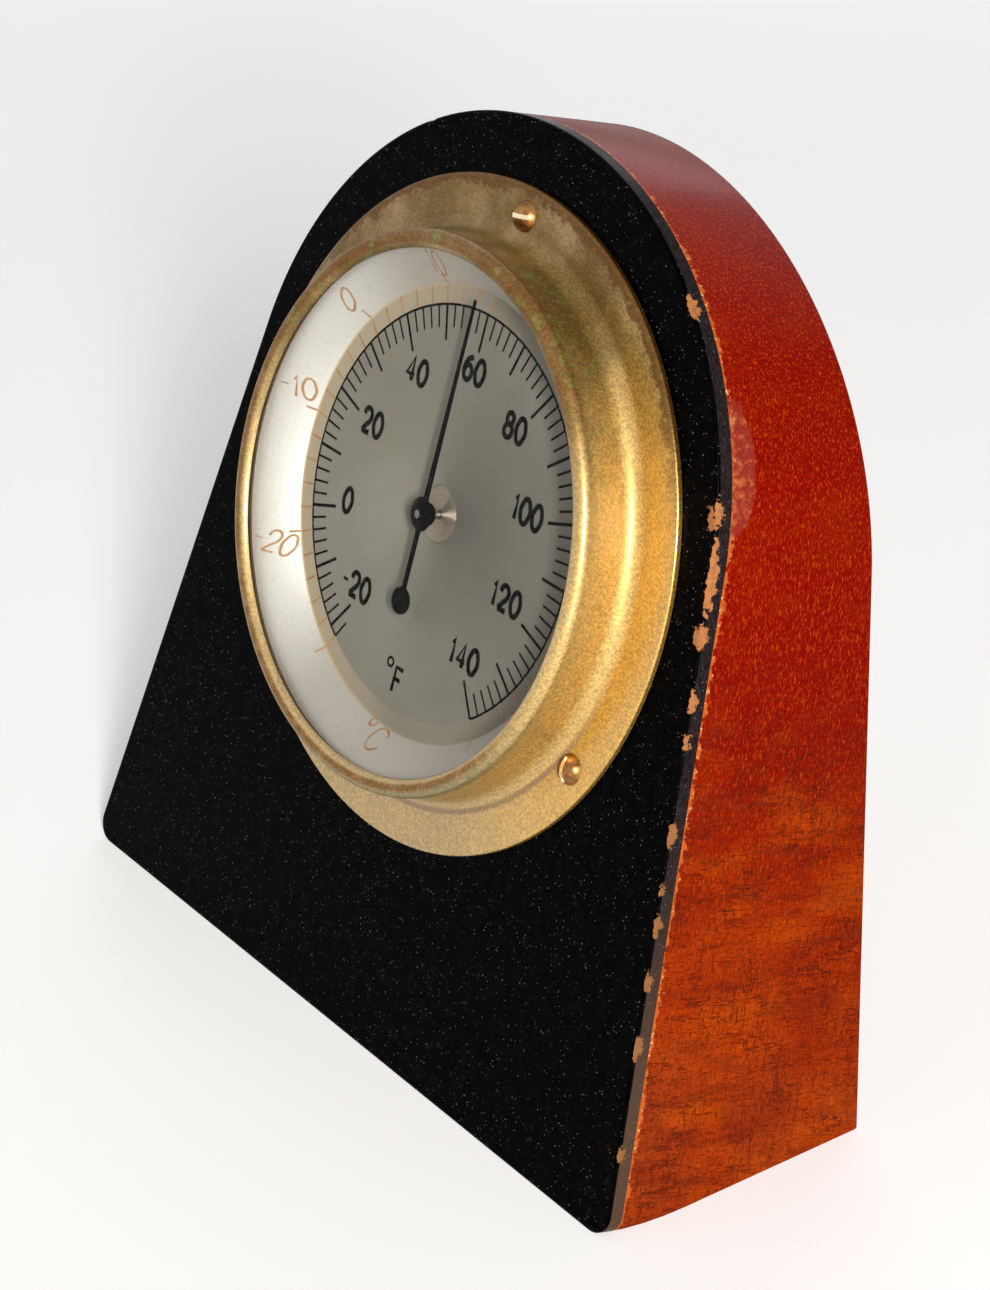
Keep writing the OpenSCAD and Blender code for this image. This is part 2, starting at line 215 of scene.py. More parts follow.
class Wires:
    """Adds the nodes of one tree and joins them up."""

    def __init__(self, tree: NodeTree, effects: "Effects | None" = None) -> None:
        """Takes the tree to wire and the shared effects that it may hold."""
        self.tree = tree
        self.effects = effects

    def feed(self, node: Node, values: dict[str | int, Any]) -> None:
        """Feeds a node.

        Args:
            node: the node.
            values: what each input takes, a number, a vector, a linear colour or a value.
        """
        for key, value in values.items():
            if isinstance(value, Value):
                self.tree.links.new(value.socket, node.inputs[key])
            else:
                node.inputs[key].default_value = value

    def add(self, kind: str, values: dict[str | int, Any] | None = None, **settings: Any) -> Node:
        """Adds a node.

        Args:
            kind: the node's type.
            values: what each input takes.
            settings: the node's own settings.
        Returns:
            The node.
        """
        node = self.tree.nodes.new(kind)
        for name, setting in settings.items():
            setattr(node, name, setting)
        self.feed(node, values or {})
        return node

    def out(self, kind: str, values: dict[str | int, Any] | None = None, key: str | int = 0,
            **settings: Any) -> Value:
        """Adds a node and gives the output of a name or number."""
        return Value(self, self.add(kind, values, **settings).outputs[key])

    def math(self, operation: str, *values: Any) -> Value:
        """Reckons with values or numbers."""
        return self.out("ShaderNodeMath", dict(enumerate(values)), operation=operation)

    def mix(self, share: Any, first: Any, second: Any, blend: str = "MIX") -> Value:
        """Mixes a share of the second colour into the first. Each is a screen colour or a value."""
        given = {0: share, 6: linear(first), 7: linear(second)}
        return self.out("ShaderNodeMix", given, 2, data_type="RGBA", blend_type=blend)

    def mark(self, name: str) -> Value:
        """Gives what a mesh's own attribute says."""
        return self.out("ShaderNodeAttribute", key="Fac", attribute_name=name)

    def effect(self, kind: "type[Effect]", **values: Any) -> dict[str, Value]:
        """Adds a shared effect and gives its outputs by their names."""
        node = self.add("ShaderNodeGroup", values, node_tree=self.effects.get(kind))
        return {output.name: Value(self, output) for output in node.outputs}

    def specks(self, vector: Value, scale: float, size: float, amount: float) -> Value:
        """Gives the mask of scattered specks."""
        return self.effect(Specks, Vector=vector, Scale=scale, Size=size, Amount=amount)["Mask"]


class Paint:
    """A colour that is built up in layers."""

    def __init__(self, wires: Wires, share: Value, first: Any, second: Any) -> None:
        """Starts with a mix of two colours."""
        self.wires = wires
        self.colour = wires.mix(share, first, second)

    def lay(self, share: Value, colour: Any) -> None:
        """Covers a share of what is there with another colour."""
        self.colour = self.wires.mix(share, self.colour, colour)

    def shade(self, factor: Value) -> None:
        """Makes what is there darker or lighter by a factor."""
        grey = self.wires.out("ShaderNodeCombineColor", {0: factor, 1: factor, 2: factor})
        self.colour = self.wires.mix(1.0, self.colour, grey, "MULTIPLY")


# Effects that the finishes share


class Effect(Wires):
    """A shader node group. A subclass names it, its inputs and its outputs."""

    name = ""
    takes = {"Vector": "Vector"}
    gives = {"Vector": "Vector"}

    def __init__(self, effects: "Effects") -> None:
        """Makes the group and wires it.

        Args:
            effects: the other effects, which it may hold.
        """
        tree = bpy.data.node_groups.new(self.name, "ShaderNodeTree")
        for side, sockets in (("INPUT", self.takes), ("OUTPUT", self.gives)):
            for label, kind in sockets.items():
                tree.interface.new_socket(label, in_out=side, socket_type=f"NodeSocket{kind}")
        super().__init__(tree, effects)
        inputs = self.add("NodeGroupInput").outputs
        self.taken = {label: Value(self, inputs[label]) for label in self.takes}
        self.vector = self.taken.get("Vector")
        self.add("NodeGroupOutput", self.wire())

    def wire(self) -> dict[str, Value]:
        """Wires the group and gives what each of its outputs puts out."""
        raise NotImplementedError


class FaceMm(Effect):
    """Coordinates on the leaning front, in millimetres from the middle of its lower edge."""

    name = "face_mm"
    takes = {}
    origin = PLACE.front().to_translation()

    def wire(self) -> dict[str, Value]:
        """Turns Object coordinates to the front and moves them to the origin.

        Returns:
            The coordinates.
        """
        given = {
            "Vector": self.out("ShaderNodeTexCoord", key="Object"),
            "Location": self.origin,
            "Rotation": (math.radians(90 - PLACE.front_lean), 0, 0),
            "Scale": (MM, MM, MM),
        }
        return {"Vector": self.out("ShaderNodeMapping", given, vector_type="TEXTURE")}


class DialMm(FaceMm):
    """Coordinates on the dial axis, in millimetres from the middle of the dial."""

    name = "dial_mm"
    origin = PLACE.dial().to_translation()


class Specks(Effect):
    """Scattered specks: how many per millimetre, how large and how many of the cells hold one."""

    name = "specks"
    takes = {"Vector": "Vector", "Scale": "Float", "Size": "Float", "Amount": "Float"}
    gives = {"Mask": "Float"}
    least_size = 0.4
    soft_edge = 0.12

    def wire(self) -> dict[str, Value]:
        """Keeps some cells of a scattered pattern and draws a soft dot in each.

        Returns:
            The mask of the dots.
        """
        given = {"Vector": self.vector, "Scale": self.taken["Scale"]}
        cells = self.add("ShaderNodeTexVoronoi", given).outputs
        chance, size, _ = Value(self, cells["Color"]).parts()
        near = (size + self.least_size) * self.taken["Size"] - Value(self, cells["Distance"])
        kept = self.math("LESS_THAN", chance, self.taken["Amount"])
        return {"Mask": near.step(0.0, self.soft_edge) * kept}


class Rings(Effect):
    """Fine turning marks round the dial axis: how many per millimetre, as a height."""

    name = "rings"
    takes = {"Vector": "Vector", "Scale": "Float"}
    gives = {"Height": "Float"}

    def wire(self) -> dict[str, Value]:
        """Draws a line pattern outwards from the axis and along it.

        Returns:
            The height of the marks.
        """
        x, y, z = self.vector.parts()
        given = {"W": x.reach(y) + z, "Scale": self.taken["Scale"], "Detail": 4.0}
        return {"Height": self.out("ShaderNodeTexNoise", given, noise_dimensions="1D")}


class BrassAge(Effect):
    """Age of the turned brass: tarnish toward the top, brown bands and a fine pitted grain, with painted
    shade on the left, painted light on the right flange and a painted reflection on the roll's lower crest.
    """

    name = "brass_age"
    gives = AGED
    left_brass = (184, 152, 92)
    right_brass = (208, 172, 98)
    flange_gold = (220, 170, 72)
    tarnish = (106, 80, 32)
    edge_brown = (98, 58, 6)
    crest_brown = (118, 76, 24)
    crest_grey = (150, 138, 104)
    lip_brown = (120, 72, 14)
    corner_dirt = (96, 56, 20)
    verdigris = (128, 132, 70)
    pit_brown = (96, 62, 28)
    edge_r = 44.7
    corner_r = 39.1
    wall_r = 37.5
    lip_r = 35.9

    def wire(self) -> dict[str, Value]:
        """Paints the brass by its place round the dial axis and its height above the front, with painted
        shade on the left and painted light on the right.

        Returns:
            The colour, roughness, height and coat of the brass.
        """
        x, y, z = self.vector.parts()
        radius = x.reach(y)
        up, side = y / radius, x / radius
        patch = self.vector.cloud(0.45, 5.0, 0.65)
        grain = self.vector.cloud(2.7, 3.0, 0.75)
        # painted light and shade: the brass is painted duller on the left and brighter on the right, where
        # the key lamp falls
        metal = Paint(self, side.step(0.35, 1.0), self.left_brass, self.right_brass)
        # painted light: the flange is painted a brighter gold on the right, where the key lamp falls
        metal.lay(side.step(0.3, 0.95) * z.step(1.8, 1.0), self.flange_gold)
        top = up.step(-0.35, 0.7) * self.vector.cloud(0.09, 4.0, 0.6).step(0.3, 0.62, 0.45, 1.0)
        top = top * side.step(1.0, 0.5, 0.4, 1.0)
        metal.lay(top * 0.9, self.tarnish)
        ragged = radius + patch.step(0.3, 0.7, -0.9, 0.9)
        band = ragged.step(43.1, 44.0) * up.step(0.2, 0.7)
        metal.lay(band * 0.85, self.edge_brown)
        roll = z.step(6.9, 8.5) * side.step(0.98, 0.7) * radius.step(35.0, 35.5)
        roll = roll * patch.step(0.25, 0.6, 0.6, 1.0)
        # brown patina on the roll's crest, with a painted reflection: the crest turns grey toward the bottom
        crest_patina_and_reflection = self.mix(up.step(0.2, -0.5), self.crest_brown, self.crest_grey)
        metal.lay(roll * 0.85, self.mix(radius.step(self.lip_r, self.lip_r + 0.7), self.lip_brown, crest_patina_and_reflection))
        # darker in the corner of the fillet, toward the bottom
        corner = abs(radius - self.corner_r).step(0.6, 0.15) * z.step(2.6, 1.6)
        metal.lay(corner * up.step(-0.1, -0.6, 0.0, 0.6), self.corner_dirt)
        green = patch.step(0.5, 0.66) * z.step(1.6, 4.0, 0.25, 1.0)
        metal.lay(green * up.step(-0.6, 0.6, 0.1, 0.6) * side.step(0.98, 0.75), self.verdigris)
        metal.shade(grain.step(0.3, 0.72, 0.6, 1.28))
        pits = self.specks(self.vector, 1.1, 0.16, 0.22) * 0.35
        metal.lay(pits, self.pit_brown)
        polish = radius.step(self.edge_r - 0.35, self.edge_r, 0.0, 0.22)
        clean = 1.0 - top.most(roll.most(band))
        wall = radius.step(self.wall_r + 0.7, self.wall_r) * z.step(7.6, 6.8)
        return {
            "Color": metal.colour,
            "Roughness": grain.step(0.25, 0.75, 0.42, 0.54) + top * 0.08 - polish,
            "Height": grain - pits,
            "Coat": (clean * 0.7 + 0.08) * (1.0 - wall * 0.85),
        }


class Wood(Effect):
    """Stained figured wood: flecks up the face, cross bands, a fine crackle and a worn front edge."""

    name = "wood"
    gives = AGED
    low_ground = (154, 49, 4)
    high_ground = (120, 5, 0)
    base_ground = (136, 48, 16)
    low_fleck = (186, 78, 10)
    high_fleck = (182, 60, 4)
    fibre_dark = (86, 12, 6)
    band_dark = (96, 26, 12)
    patch_light = (190, 80, 8)
    patch_dark = (112, 20, 6)
    weave_dark = (82, 20, 6)
    crack_dark = (66, 18, 10)
    worn_wood = (190, 92, 38)
    bare_wood = (226, 186, 140)
    scuff_dark = (134, 48, 42)
    scuff_light = (196, 116, 66)
    scuff_place = (52.0, 97.4, -3.0)
    front_edge = -2.6

    def wire(self) -> dict[str, Value]:
        """Lays the stain, then the figure and the crackle, then the wear.

        Returns:
            The colour, roughness, height and coat of the wood.
        """
        _, self.y, self.z = self.vector.parts()
        self.lower = self.y.step(78.0, 50.0, 0.15, 1.0)
        fleck = self.vector.scaled(4.0, 1.15, 4.0).cloud(rough=0.6)
        fibre = self.vector.scaled(4.0, 0.22, 4.0, 3.1).cloud(rough=0.6)
        self.wood = self._stain(fleck)
        self.wood.lay(fibre.step(0.58, 0.74, 0.0, 0.35), self.fibre_dark)
        self._figure()
        crack = self._crackle() * self.lower
        self.wood.lay(crack, self.crack_dark)
        self.wood.shade(self.vector.cloud(3.2, 3.0, 0.7).step(0.3, 0.7, 0.78, 1.24))
        wear = self._wear()
        return {
            "Color": self.wood.colour,
            "Roughness": fleck.step(0.3, 0.7, 0.30, 0.42) + wear * 0.25,
            "Height": fleck * 0.4 + fibre - crack * 1.6,
            "Coat": self.y.step(106.0, 127.0, 0.05, 0.33),
        }

    def _stain(self, fleck: Value) -> Paint:
        """Stains the wood, redder toward the top, and flecks it.

        Args:
            fleck: the pattern of the flecks.
        Returns:
            The stained wood.
        """
        broad = self.vector.scaled(0.05, 0.03, 0.05, 7.7).cloud()
        height = self.y + broad.step(0.3, 0.7, -12.0, 12.0)
        middle = height.step(12.0, 62.0)
        ground = Paint(self, middle, self.low_ground, self.high_ground)
        ground.lay(height.step(20.0, 4.0) * 0.7, self.base_ground)
        flecks = fleck.step(0.5, 0.72) * height.step(12.0, 62.0, 0.3, 1.0)
        ground.lay(flecks, self.mix(middle, self.low_fleck, self.high_fleck))
        return ground

    def _figure(self) -> None:
        """Lays the bands, the light and dark patches and the weave of the lower half."""
        band = self.vector.scaled(0.06, 0.42, 0.06, 11.3).cloud(1.0, 5.0, 0.65)
        self.wood.lay(band.step(0.48, 0.68, 0.0, 0.5) * self.lower, self.band_dark)
        patch = self.vector.scaled(0.05, 0.13, 0.05, 17.9).cloud(1.0, 4.0, 0.6)
        self.wood.lay(patch.step(0.46, 0.7, 0.0, 0.4) * self.lower, self.patch_light)
        self.wood.lay(patch.step(0.5, 0.32, 0.0, 0.45) * self.lower, self.patch_dark)
        across = self.vector.scaled(0.7, 4.4, 0.7, 5.3).cloud(rough=0.6)
        upward = self.vector.scaled(5.0, 0.35, 5.0, 9.1).cloud(1.0, 2.0, 0.6)
        weave = across.step(0.5, 0.68, 0.0, 0.75).most(upward.step(0.5, 0.68, 0.0, 0.6))
        self.wood.lay(weave * self.y.step(84.0, 52.0, 0.1, 1.0), self.weave_dark)

    def _crackle(self) -> Value:
        """Draws long wavering cracks, where two stretched clouds have their middle grey.

        Returns:
            The cracks, up the face and across it.
        """
        up = self.vector.scaled(0.55, 0.05, 0.55, 21.3).cloud(1.0, 4.0, 0.62)
        across = self.vector.scaled(0.07, 0.42, 0.07, 25.1).cloud(1.0, 4.0, 0.62)
        lines = abs(up - 0.5).least(abs(across - 0.5))
        return lines.step(0.022, 0.002, 0.0, 0.7) * self.vector.cloud(0.12).step(0.35, 0.6)

    def _wear(self) -> Value:
        """Wears the front edge down to paler wood and rubs one scuff beside it.

        Returns:
            The share that is worn.
        """
        edge = self.z + self.vector.cloud(0.8, 4.0, 0.65).step(0.2, 0.8, -0.75, 0.75)
        worn = edge.step(self.front_edge - 0.4, self.front_edge)
        self.wood.lay(worn * 0.85, self.worn_wood)
        self.wood.lay(worn * self.vector.cloud(2.1, 2.0).step(0.6, 0.68) * 0.8, self.bare_wood)
        scuff = self.vector.away(self.scuff_place).scaled(0.02, 0.125, 0.29).length()
        scuff = scuff + self.vector.cloud(1.1, 4.0).step(0.2, 0.8, -0.05, 0.05)
        rubbed = scuff.step(1.04, 0.88, 0.0, 0.62)
        mottle = self.vector.cloud(0.9, 5.0, 0.7).step(0.46, 0.68)
        self.wood.lay(rubbed, self.mix(mottle, self.scuff_dark, self.scuff_light))
        return rubbed.most(worn)


@dataclass
class Effects:
    """Makes each shared effect once and hands it out."""

    made: dict[type[Effect], NodeTree] = field(default_factory=dict)

    def get(self, kind: type[Effect]) -> NodeTree:
        """Gives the group of an effect.

        Args:
            kind: the effect's class.
        Returns:
            The group, made at its first use.
        """
        if kind not in self.made:
            self.made[kind] = kind(self).tree
            log.info("effect %s", kind.name)
        return self.made[kind]


# Finishes


class Surface(Wires):
    """A finish: one material with one Principled shader. A subclass names its slot and feeds it."""

    finish: Finish
    place: type[Effect] = DialMm
    plain: dict[str, float] = {}

    def __init__(self, effects: Effects) -> None:
        """Makes the material and wires it.

        Args:
            effects: the shared effects.
        """
        self.material = bpy.data.materials.new(self.finish.value)
        self.material.use_nodes = True
        super().__init__(self.material.node_tree, effects)
        self.tree.nodes.clear()
        self.vector = self.effect(self.place)["Vector"]
        shader = self.add("ShaderNodeBsdfPrincipled", self.plain)
        self.feed(shader, self.wire())
        self.add("ShaderNodeOutputMaterial", {"Surface": self.over(Value(self, shader.outputs[0]))})

    def wire(self) -> dict[str, Value]:
        """Wires the material and gives what each input of its shader takes."""
        raise NotImplementedError

    def over(self, shader: Value) -> Value:
        """Gives what the material shows, which is the shader itself unless a finish says more."""
        return shader

    def relief(self, height: Value, depth_mm: float, strength: float = 1.0) -> Value:
        """Turns a pattern that stands up by a depth into normals."""
        given = {"Height": height, "Distance": depth_mm * MM, "Strength": strength}
        return self.out("ShaderNodeBump", given)


class Aged(Surface):
    """A finish that takes its colour, roughness, coat and relief from one effect."""

    ageing: type[Effect]
    depth_mm: float

    def wire(self) -> dict[str, Value]:
        """Feeds the shader from the effect.

        Returns:
            The colour, roughness, coat and normals.
        """
        age = self.effect(self.ageing, Vector=self.vector)
        return {
            "Base Color": age["Color"],
            "Roughness": age["Roughness"],
            "Coat Weight": age["Coat"],
            "Normal": self.relief(age["Height"], self.depth_mm, 0.5),
        }


class Mahogany(Aged):
    """Polished red-brown wood under a thin worn varnish."""

    finish = Finish.MAHOGANY
    place = FaceMm
    plain = {"Coat Roughness": 0.25, "Specular IOR Level": 0.0}
    ageing = Wood
    depth_mm = 0.05


class AgedBrass(Aged):
    """Turned brass with tarnish and a fine pitted grain, and with painted light and shade."""

    finish = Finish.BEZEL
    plain = {"Metallic": 0.78, "Coat Roughness": 0.19, "Coat IOR": 1.8}
    ageing = BrassAge
    depth_mm = 0.04


class BlackLacquer(Surface):
    """Black lacquer with pale dust, a greyer cut edge and chips down to the wood."""

    finish = Finish.LACQUER
    place = FaceMm
    plain = {"Specular IOR Level": 0.015}
    black = (0, 0, 1)
    faded = (5, 4, 4)
    cut_dark = (20, 15, 18)
    cut_light = (44, 36, 38)
    cut_base = (104, 80, 62)
    dust = (146, 132, 116)
    wood_dark = (110, 64, 36)
    wood_light = (204, 136, 84)
    wood_dull = (112, 78, 50)

    def wire(self) -> dict[str, Value]:
        """Lays the black, the cut edge, the dust and the bare wood of the chips.

        Returns:
            The colour, roughness and normals of the lacquer.
        """
        _, y, z = self.vector.parts()
        patch = self.vector.cloud(0.5, 4.0, 0.6)
        front = Paint(self, patch.step(0.4, 0.7), self.black, self.faded)
        scratch = self.vector.scaled(1.2, 1.2, 5.0).cloud(1.0, 4.0, 0.6)
        cut = Paint(self, scratch.step(0.35, 0.65), self.cut_dark, self.cut_light)
        cut.lay(y.step(60.0, 10.0, 0.0, 0.5), self.cut_base)
        front.lay(z.step(-0.35, -0.6), cut.colour)
        fine = self.specks(self.vector, 2.6, 0.22, 0.3) * 0.55
        specks = self.specks(self.vector, 1.6, 0.15, 0.55).most(fine)
        front.lay(specks * 0.65, self.dust)
        ragged = self.mark("chip") + self.vector.cloud(1.3, 5.0, 0.65).step(0.2, 0.8, -0.5, 0.5)
        bare = ragged.step(0.46, 0.56)
        wood = Paint(self, self.vector.cloud(1.8, 4.0, 0.7), self.wood_dark, self.wood_light)
        wood.lay(y.step(70.0, 48.0, 0.0, 0.6), self.wood_dull)
        front.lay(bare, wood.colour)
        return {
            "Base Color": front.colour,
            "Roughness": patch.step(0.3, 0.7, 0.22, 0.34) + bare.most(specks) * 0.45,
            "Normal": self.relief(patch - bare, 0.06, 0.4),
        }


class CaseBrass(Surface):
    """Dull brass of the case, with a soft mottle and turning marks."""

    finish = Finish.CASE
    plain = {"Metallic": 1.0}
    light = (186, 150, 90)
    dark = (152, 118, 68)
    smooth = 0.34
    dull = 0.46
    marks_per_mm = 3.0

    def wire(self) -> dict[str, Value]:
        """Mottles the metal between its two colours and cuts the turning marks, if it has any.

        Returns:
            The colour, roughness and normals of the metal.
        """
        mottle = self.vector.cloud(0.5, 5.0, 0.65)
        grain = self.vector.cloud(4.0, 3.0, 0.6)
        if self.marks_per_mm:
            turned = self.effect(Rings, Vector=self.vector, Scale=self.marks_per_mm)["Height"]
            grain = turned * 2.0 + grain * 0.15
        return {
            "Base Color": self.mix(mottle.step(0.36, 0.66), self.light, self.dark),
            "Roughness": mottle.step(0.3, 0.7, self.smooth, self.dull),
            "Normal": self.relief(grain, 0.02, 0.5),
        }


class InnerBrass(CaseBrass):
    """Clean brass of the movement."""

    finish = Finish.INNER
    light = (206, 168, 96)
    dark = (168, 128, 70)
    smooth = 0.26
    dull = 0.4
    marks_per_mm = 4.0


class Steel(CaseBrass):
    """Bright steel."""

    finish = Finish.STEEL
    light = (176, 178, 182)
    dark = (120, 118, 118)
    smooth = 0.22
    dull = 0.4
    marks_per_mm = 5.0


class Bimetal(CaseBrass):
    """The rolled strip of the coil."""

    finish = Finish.BIMETAL
    light = (186, 178, 156)
    dark = (142, 126, 96)
    smooth = 0.3
    dull = 0.42
    marks_per_mm = 0.0


class ScrewBrass(Surface):
    """Browned screw heads, bare and bright in their slots."""

    finish = Finish.SCREW
    plain = {"Metallic": 0.95}
    light = (166, 120, 70)
    dark = (104, 64, 32)
    slot_metal = (246, 226, 190)

    def wire(self) -> dict[str, Value]:
        """Mottles the heads and bares the faces that carry the mark.

        Returns:
            The colour, roughness and normals of the heads.
        """
        mottle = self.vector.cloud(0.7, 5.0, 0.65)
        head = Paint(self, mottle.step(0.36, 0.66), self.light, self.dark)
        head.lay(self.mark("bare"), self.slot_metal)
        return {
            "Base Color": head.colour,
            "Roughness": mottle.step(0.3, 0.7, 0.24, 0.36),
            "Normal": self.relief(self.vector.cloud(4.0, 3.0, 0.6), 0.02, 0.5),
        }


class BushBrass(Surface):
    """The turned disc in the middle of the dial, whose fine rings draw the light into a line."""

    finish = Finish.BUSH
    plain = {"Metallic": 1.0, "Anisotropic": 0.92}
    light = (192, 180, 162)
    dark = (166, 152, 134)
    marks_per_mm = 6.0

    def wire(self) -> dict[str, Value]:
        """Turns the shine outwards from the axis and cuts fine rings.

        Returns:
            The tangent, colour and roughness of the disc.
        """
        turned = self.effect(Rings, Vector=self.vector, Scale=self.marks_per_mm)["Height"]
        return {
            "Tangent": self.out("ShaderNodeTexCoord", key="Object").away(DialMm.origin),
            "Base Color": self.mix(turned.step(0.35, 0.65), self.light, self.dark),
            "Roughness": turned.step(0.3, 0.7, 0.42, 0.52),
        }


class WindowGlass(Surface):
    """Clear flat glass that lets the lamp reach the dial."""

    finish = Finish.GLASS
    plain = {"IOR": 1.08, "Transmission Weight": 1.0}
    clear = (0.97, 0.98, 0.97, 1.0)

    def wire(self) -> dict[str, Value]:
        """Lays a thin film."""
        return {"Roughness": self.vector.cloud(0.3, 4.0, 0.6).step(0.4, 0.8, 0.0, 0.05)}

    def over(self, shader: Value) -> Value:
        """Lets shadow and diffuse rays through.

        Args:
            shader: the glass as the camera sees it.
        Returns:
            The glass, clear to those rays.
        """
        rays = self.add("ShaderNodeLightPath").outputs
        let_through = Value(self, rays["Is Shadow Ray"]).most(Value(self, rays["Is Diffuse Ray"]))
        clear = self.out("ShaderNodeBsdfTransparent", {"Color": self.clear})
        return self.out("ShaderNodeMixShader", {0: let_through, 1: shader, 2: clear})


class GasketCard(Surface):
    """Dark fibrous card of the sealing ring."""

    finish = Finish.CARD
    plain = {"Roughness": 0.9}
    dark = (58, 44, 30)
    light = (98, 78, 56)

    def wire(self) -> dict[str, Value]:
        """Draws the fibres."""
        fibre = self.vector.scaled(3.0, 1.0, 2.0).cloud(1.0, 4.0, 0.7)
        return {"Base Color": self.mix(fibre, self.dark, self.light), "Normal": self.relief(fibre, 0.05)}


class SilveredDial(Surface):
    """Satin silvered metal, warmer between the scale ring and the brighter border, with a painted highlight
    on the border's left.
    """

    finish = Finish.DIAL
    plain = {"Specular IOR Level": 0.25}
    flat_light = (146, 142, 132)
    flat_dark = (138, 134, 122)
    ring_warm = (186, 171, 146)
    kink_gold = (222, 190, 132)
    border_right = (198, 192, 182)
    border_left = (244, 241, 234)
    dust = (235, 230, 220)
    ring_r = 27.4
    kink_r = 30.2
    dimple_down = 27.5
    dimple_r = 1.1

    def wire(self) -> dict[str, Value]:
        """Paints the flat, the ring and the border, with a painted highlight on the border's left, then the
        grain, the dust and the dimple.

        Returns:
            The colour, metal, roughness and normals of the plate.
        """
        x, y, _ = self.vector.parts()
        radius = x.reach(y)
        plate = Paint(self, self.vector.cloud(0.06).step(0.3, 0.7), self.flat_light, self.flat_dark)
        warm = radius.step(self.ring_r, self.ring_r + 0.6) * x.step(6.0, -20.0, 0.15, 1.0)
        plate.lay(warm, self.ring_warm)
        line = radius.step(self.kink_r - 0.3, self.kink_r - 0.15) * warm * y.step(22.0, 4.0, 0.5, 1.0)
        plate.lay(line * 0.6, self.kink_gold)
        border = radius.step(self.kink_r, self.kink_r + 0.3)
        # painted highlight: the border is painted much lighter on the left, where it faces the key lamp
        plate.lay(border, self.mix(x.step(-12.0, -29.0), self.border_right, self.border_left))
        grain = self.vector.cloud(5.0, 2.0, 0.6)
        plate.shade(grain.step(0.3, 0.7, 0.9, 1.06))
        plate.lay(self.specks(self.vector, 0.42, 0.05, 0.3) * 0.7, self.dust)
        dimple = x.reach(y + self.dimple_down).step(self.dimple_r, self.dimple_r - 0.4, 0.0, 12.0)
        return {
            "Base Color": plate.colour,
            "Metallic": border * 0.65 + 0.15,
            "Roughness": grain.step(0.2, 0.8, 0.46, 0.54) - border * 0.02,
            "Normal": self.relief(grain - dimple, 0.01, 0.4),
        }


class BlackEnamel(Surface):
    """Black enamel of the pointer and the print, with a little dust."""

    finish = Finish.ENAMEL
    plain = {"Specular IOR Level": 0.06}
    black = (4, 4, 4)
    worn_black = (12, 11, 10)
    dust = (150, 145, 135)

    def wire(self) -> dict[str, Value]:
        """Lays the worn black and the dust.

        Returns:
            The colour and roughness of the enamel.
        """
        worn = self.vector.cloud(1.4, 4.0)
        enamel = Paint(self, worn.step(0.4, 0.7), self.black, self.worn_black)
        enamel.lay(self.specks(self.vector, 1.9, 0.16, 0.25) * 0.2, self.dust)
        return {"Base Color": enamel.colour, "Roughness": worn.step(0.3, 0.7, 0.18, 0.32)}


class ScaleInk(Surface):
    """Faded orange-brown ink of the second scale."""

    finish = Finish.INK
    plain = {"Roughness": 0.6}
    strong = (166, 118, 70)
    faded = (188, 150, 108)

    def wire(self) -> dict[str, Value]:
        """Fades the ink in patches."""
        patch = self.vector.cloud(0.8, 4.0, 0.6)
        return {"Base Color": self.mix(patch.step(0.35, 0.65), self.strong, self.faded)}


@dataclass
class Finishes:
    """Makes each material once and hands it out by its slot."""

    effects: Effects = field(default_factory=Effects)
    kinds: tuple[type[Surface], ...] = (
        Mahogany, BlackLacquer, AgedBrass, CaseBrass, InnerBrass, Steel, Bimetal, ScrewBrass, BushBrass,
        WindowGlass, GasketCard, SilveredDial, BlackEnamel, ScaleInk,
    )
    made: dict[Finish, Material] = field(default_factory=dict)

    def get(self, finish: Finish) -> Material:
        """Gives the material of a slot.

        Args:
            finish: the slot.
        Returns:
            The material, made at its first use.
        """
        if finish not in self.made:
            kind = next(kind for kind in self.kinds if kind.finish is finish)
            self.made[finish] = kind(self.effects).material
            log.info("finish %s", finish.value)
        return self.made[finish]


# Making pieces


def show(name: str, data: Any) -> Object:
    """Puts an object with its data into the scene.

    Args:
        name: the object's name.
        data: its mesh, curve, lamp or camera.
    Returns:
        The object.
    """
    obj = bpy.data.objects.new(name, data)
    bpy.context.scene.collection.objects.link(obj)
    return obj


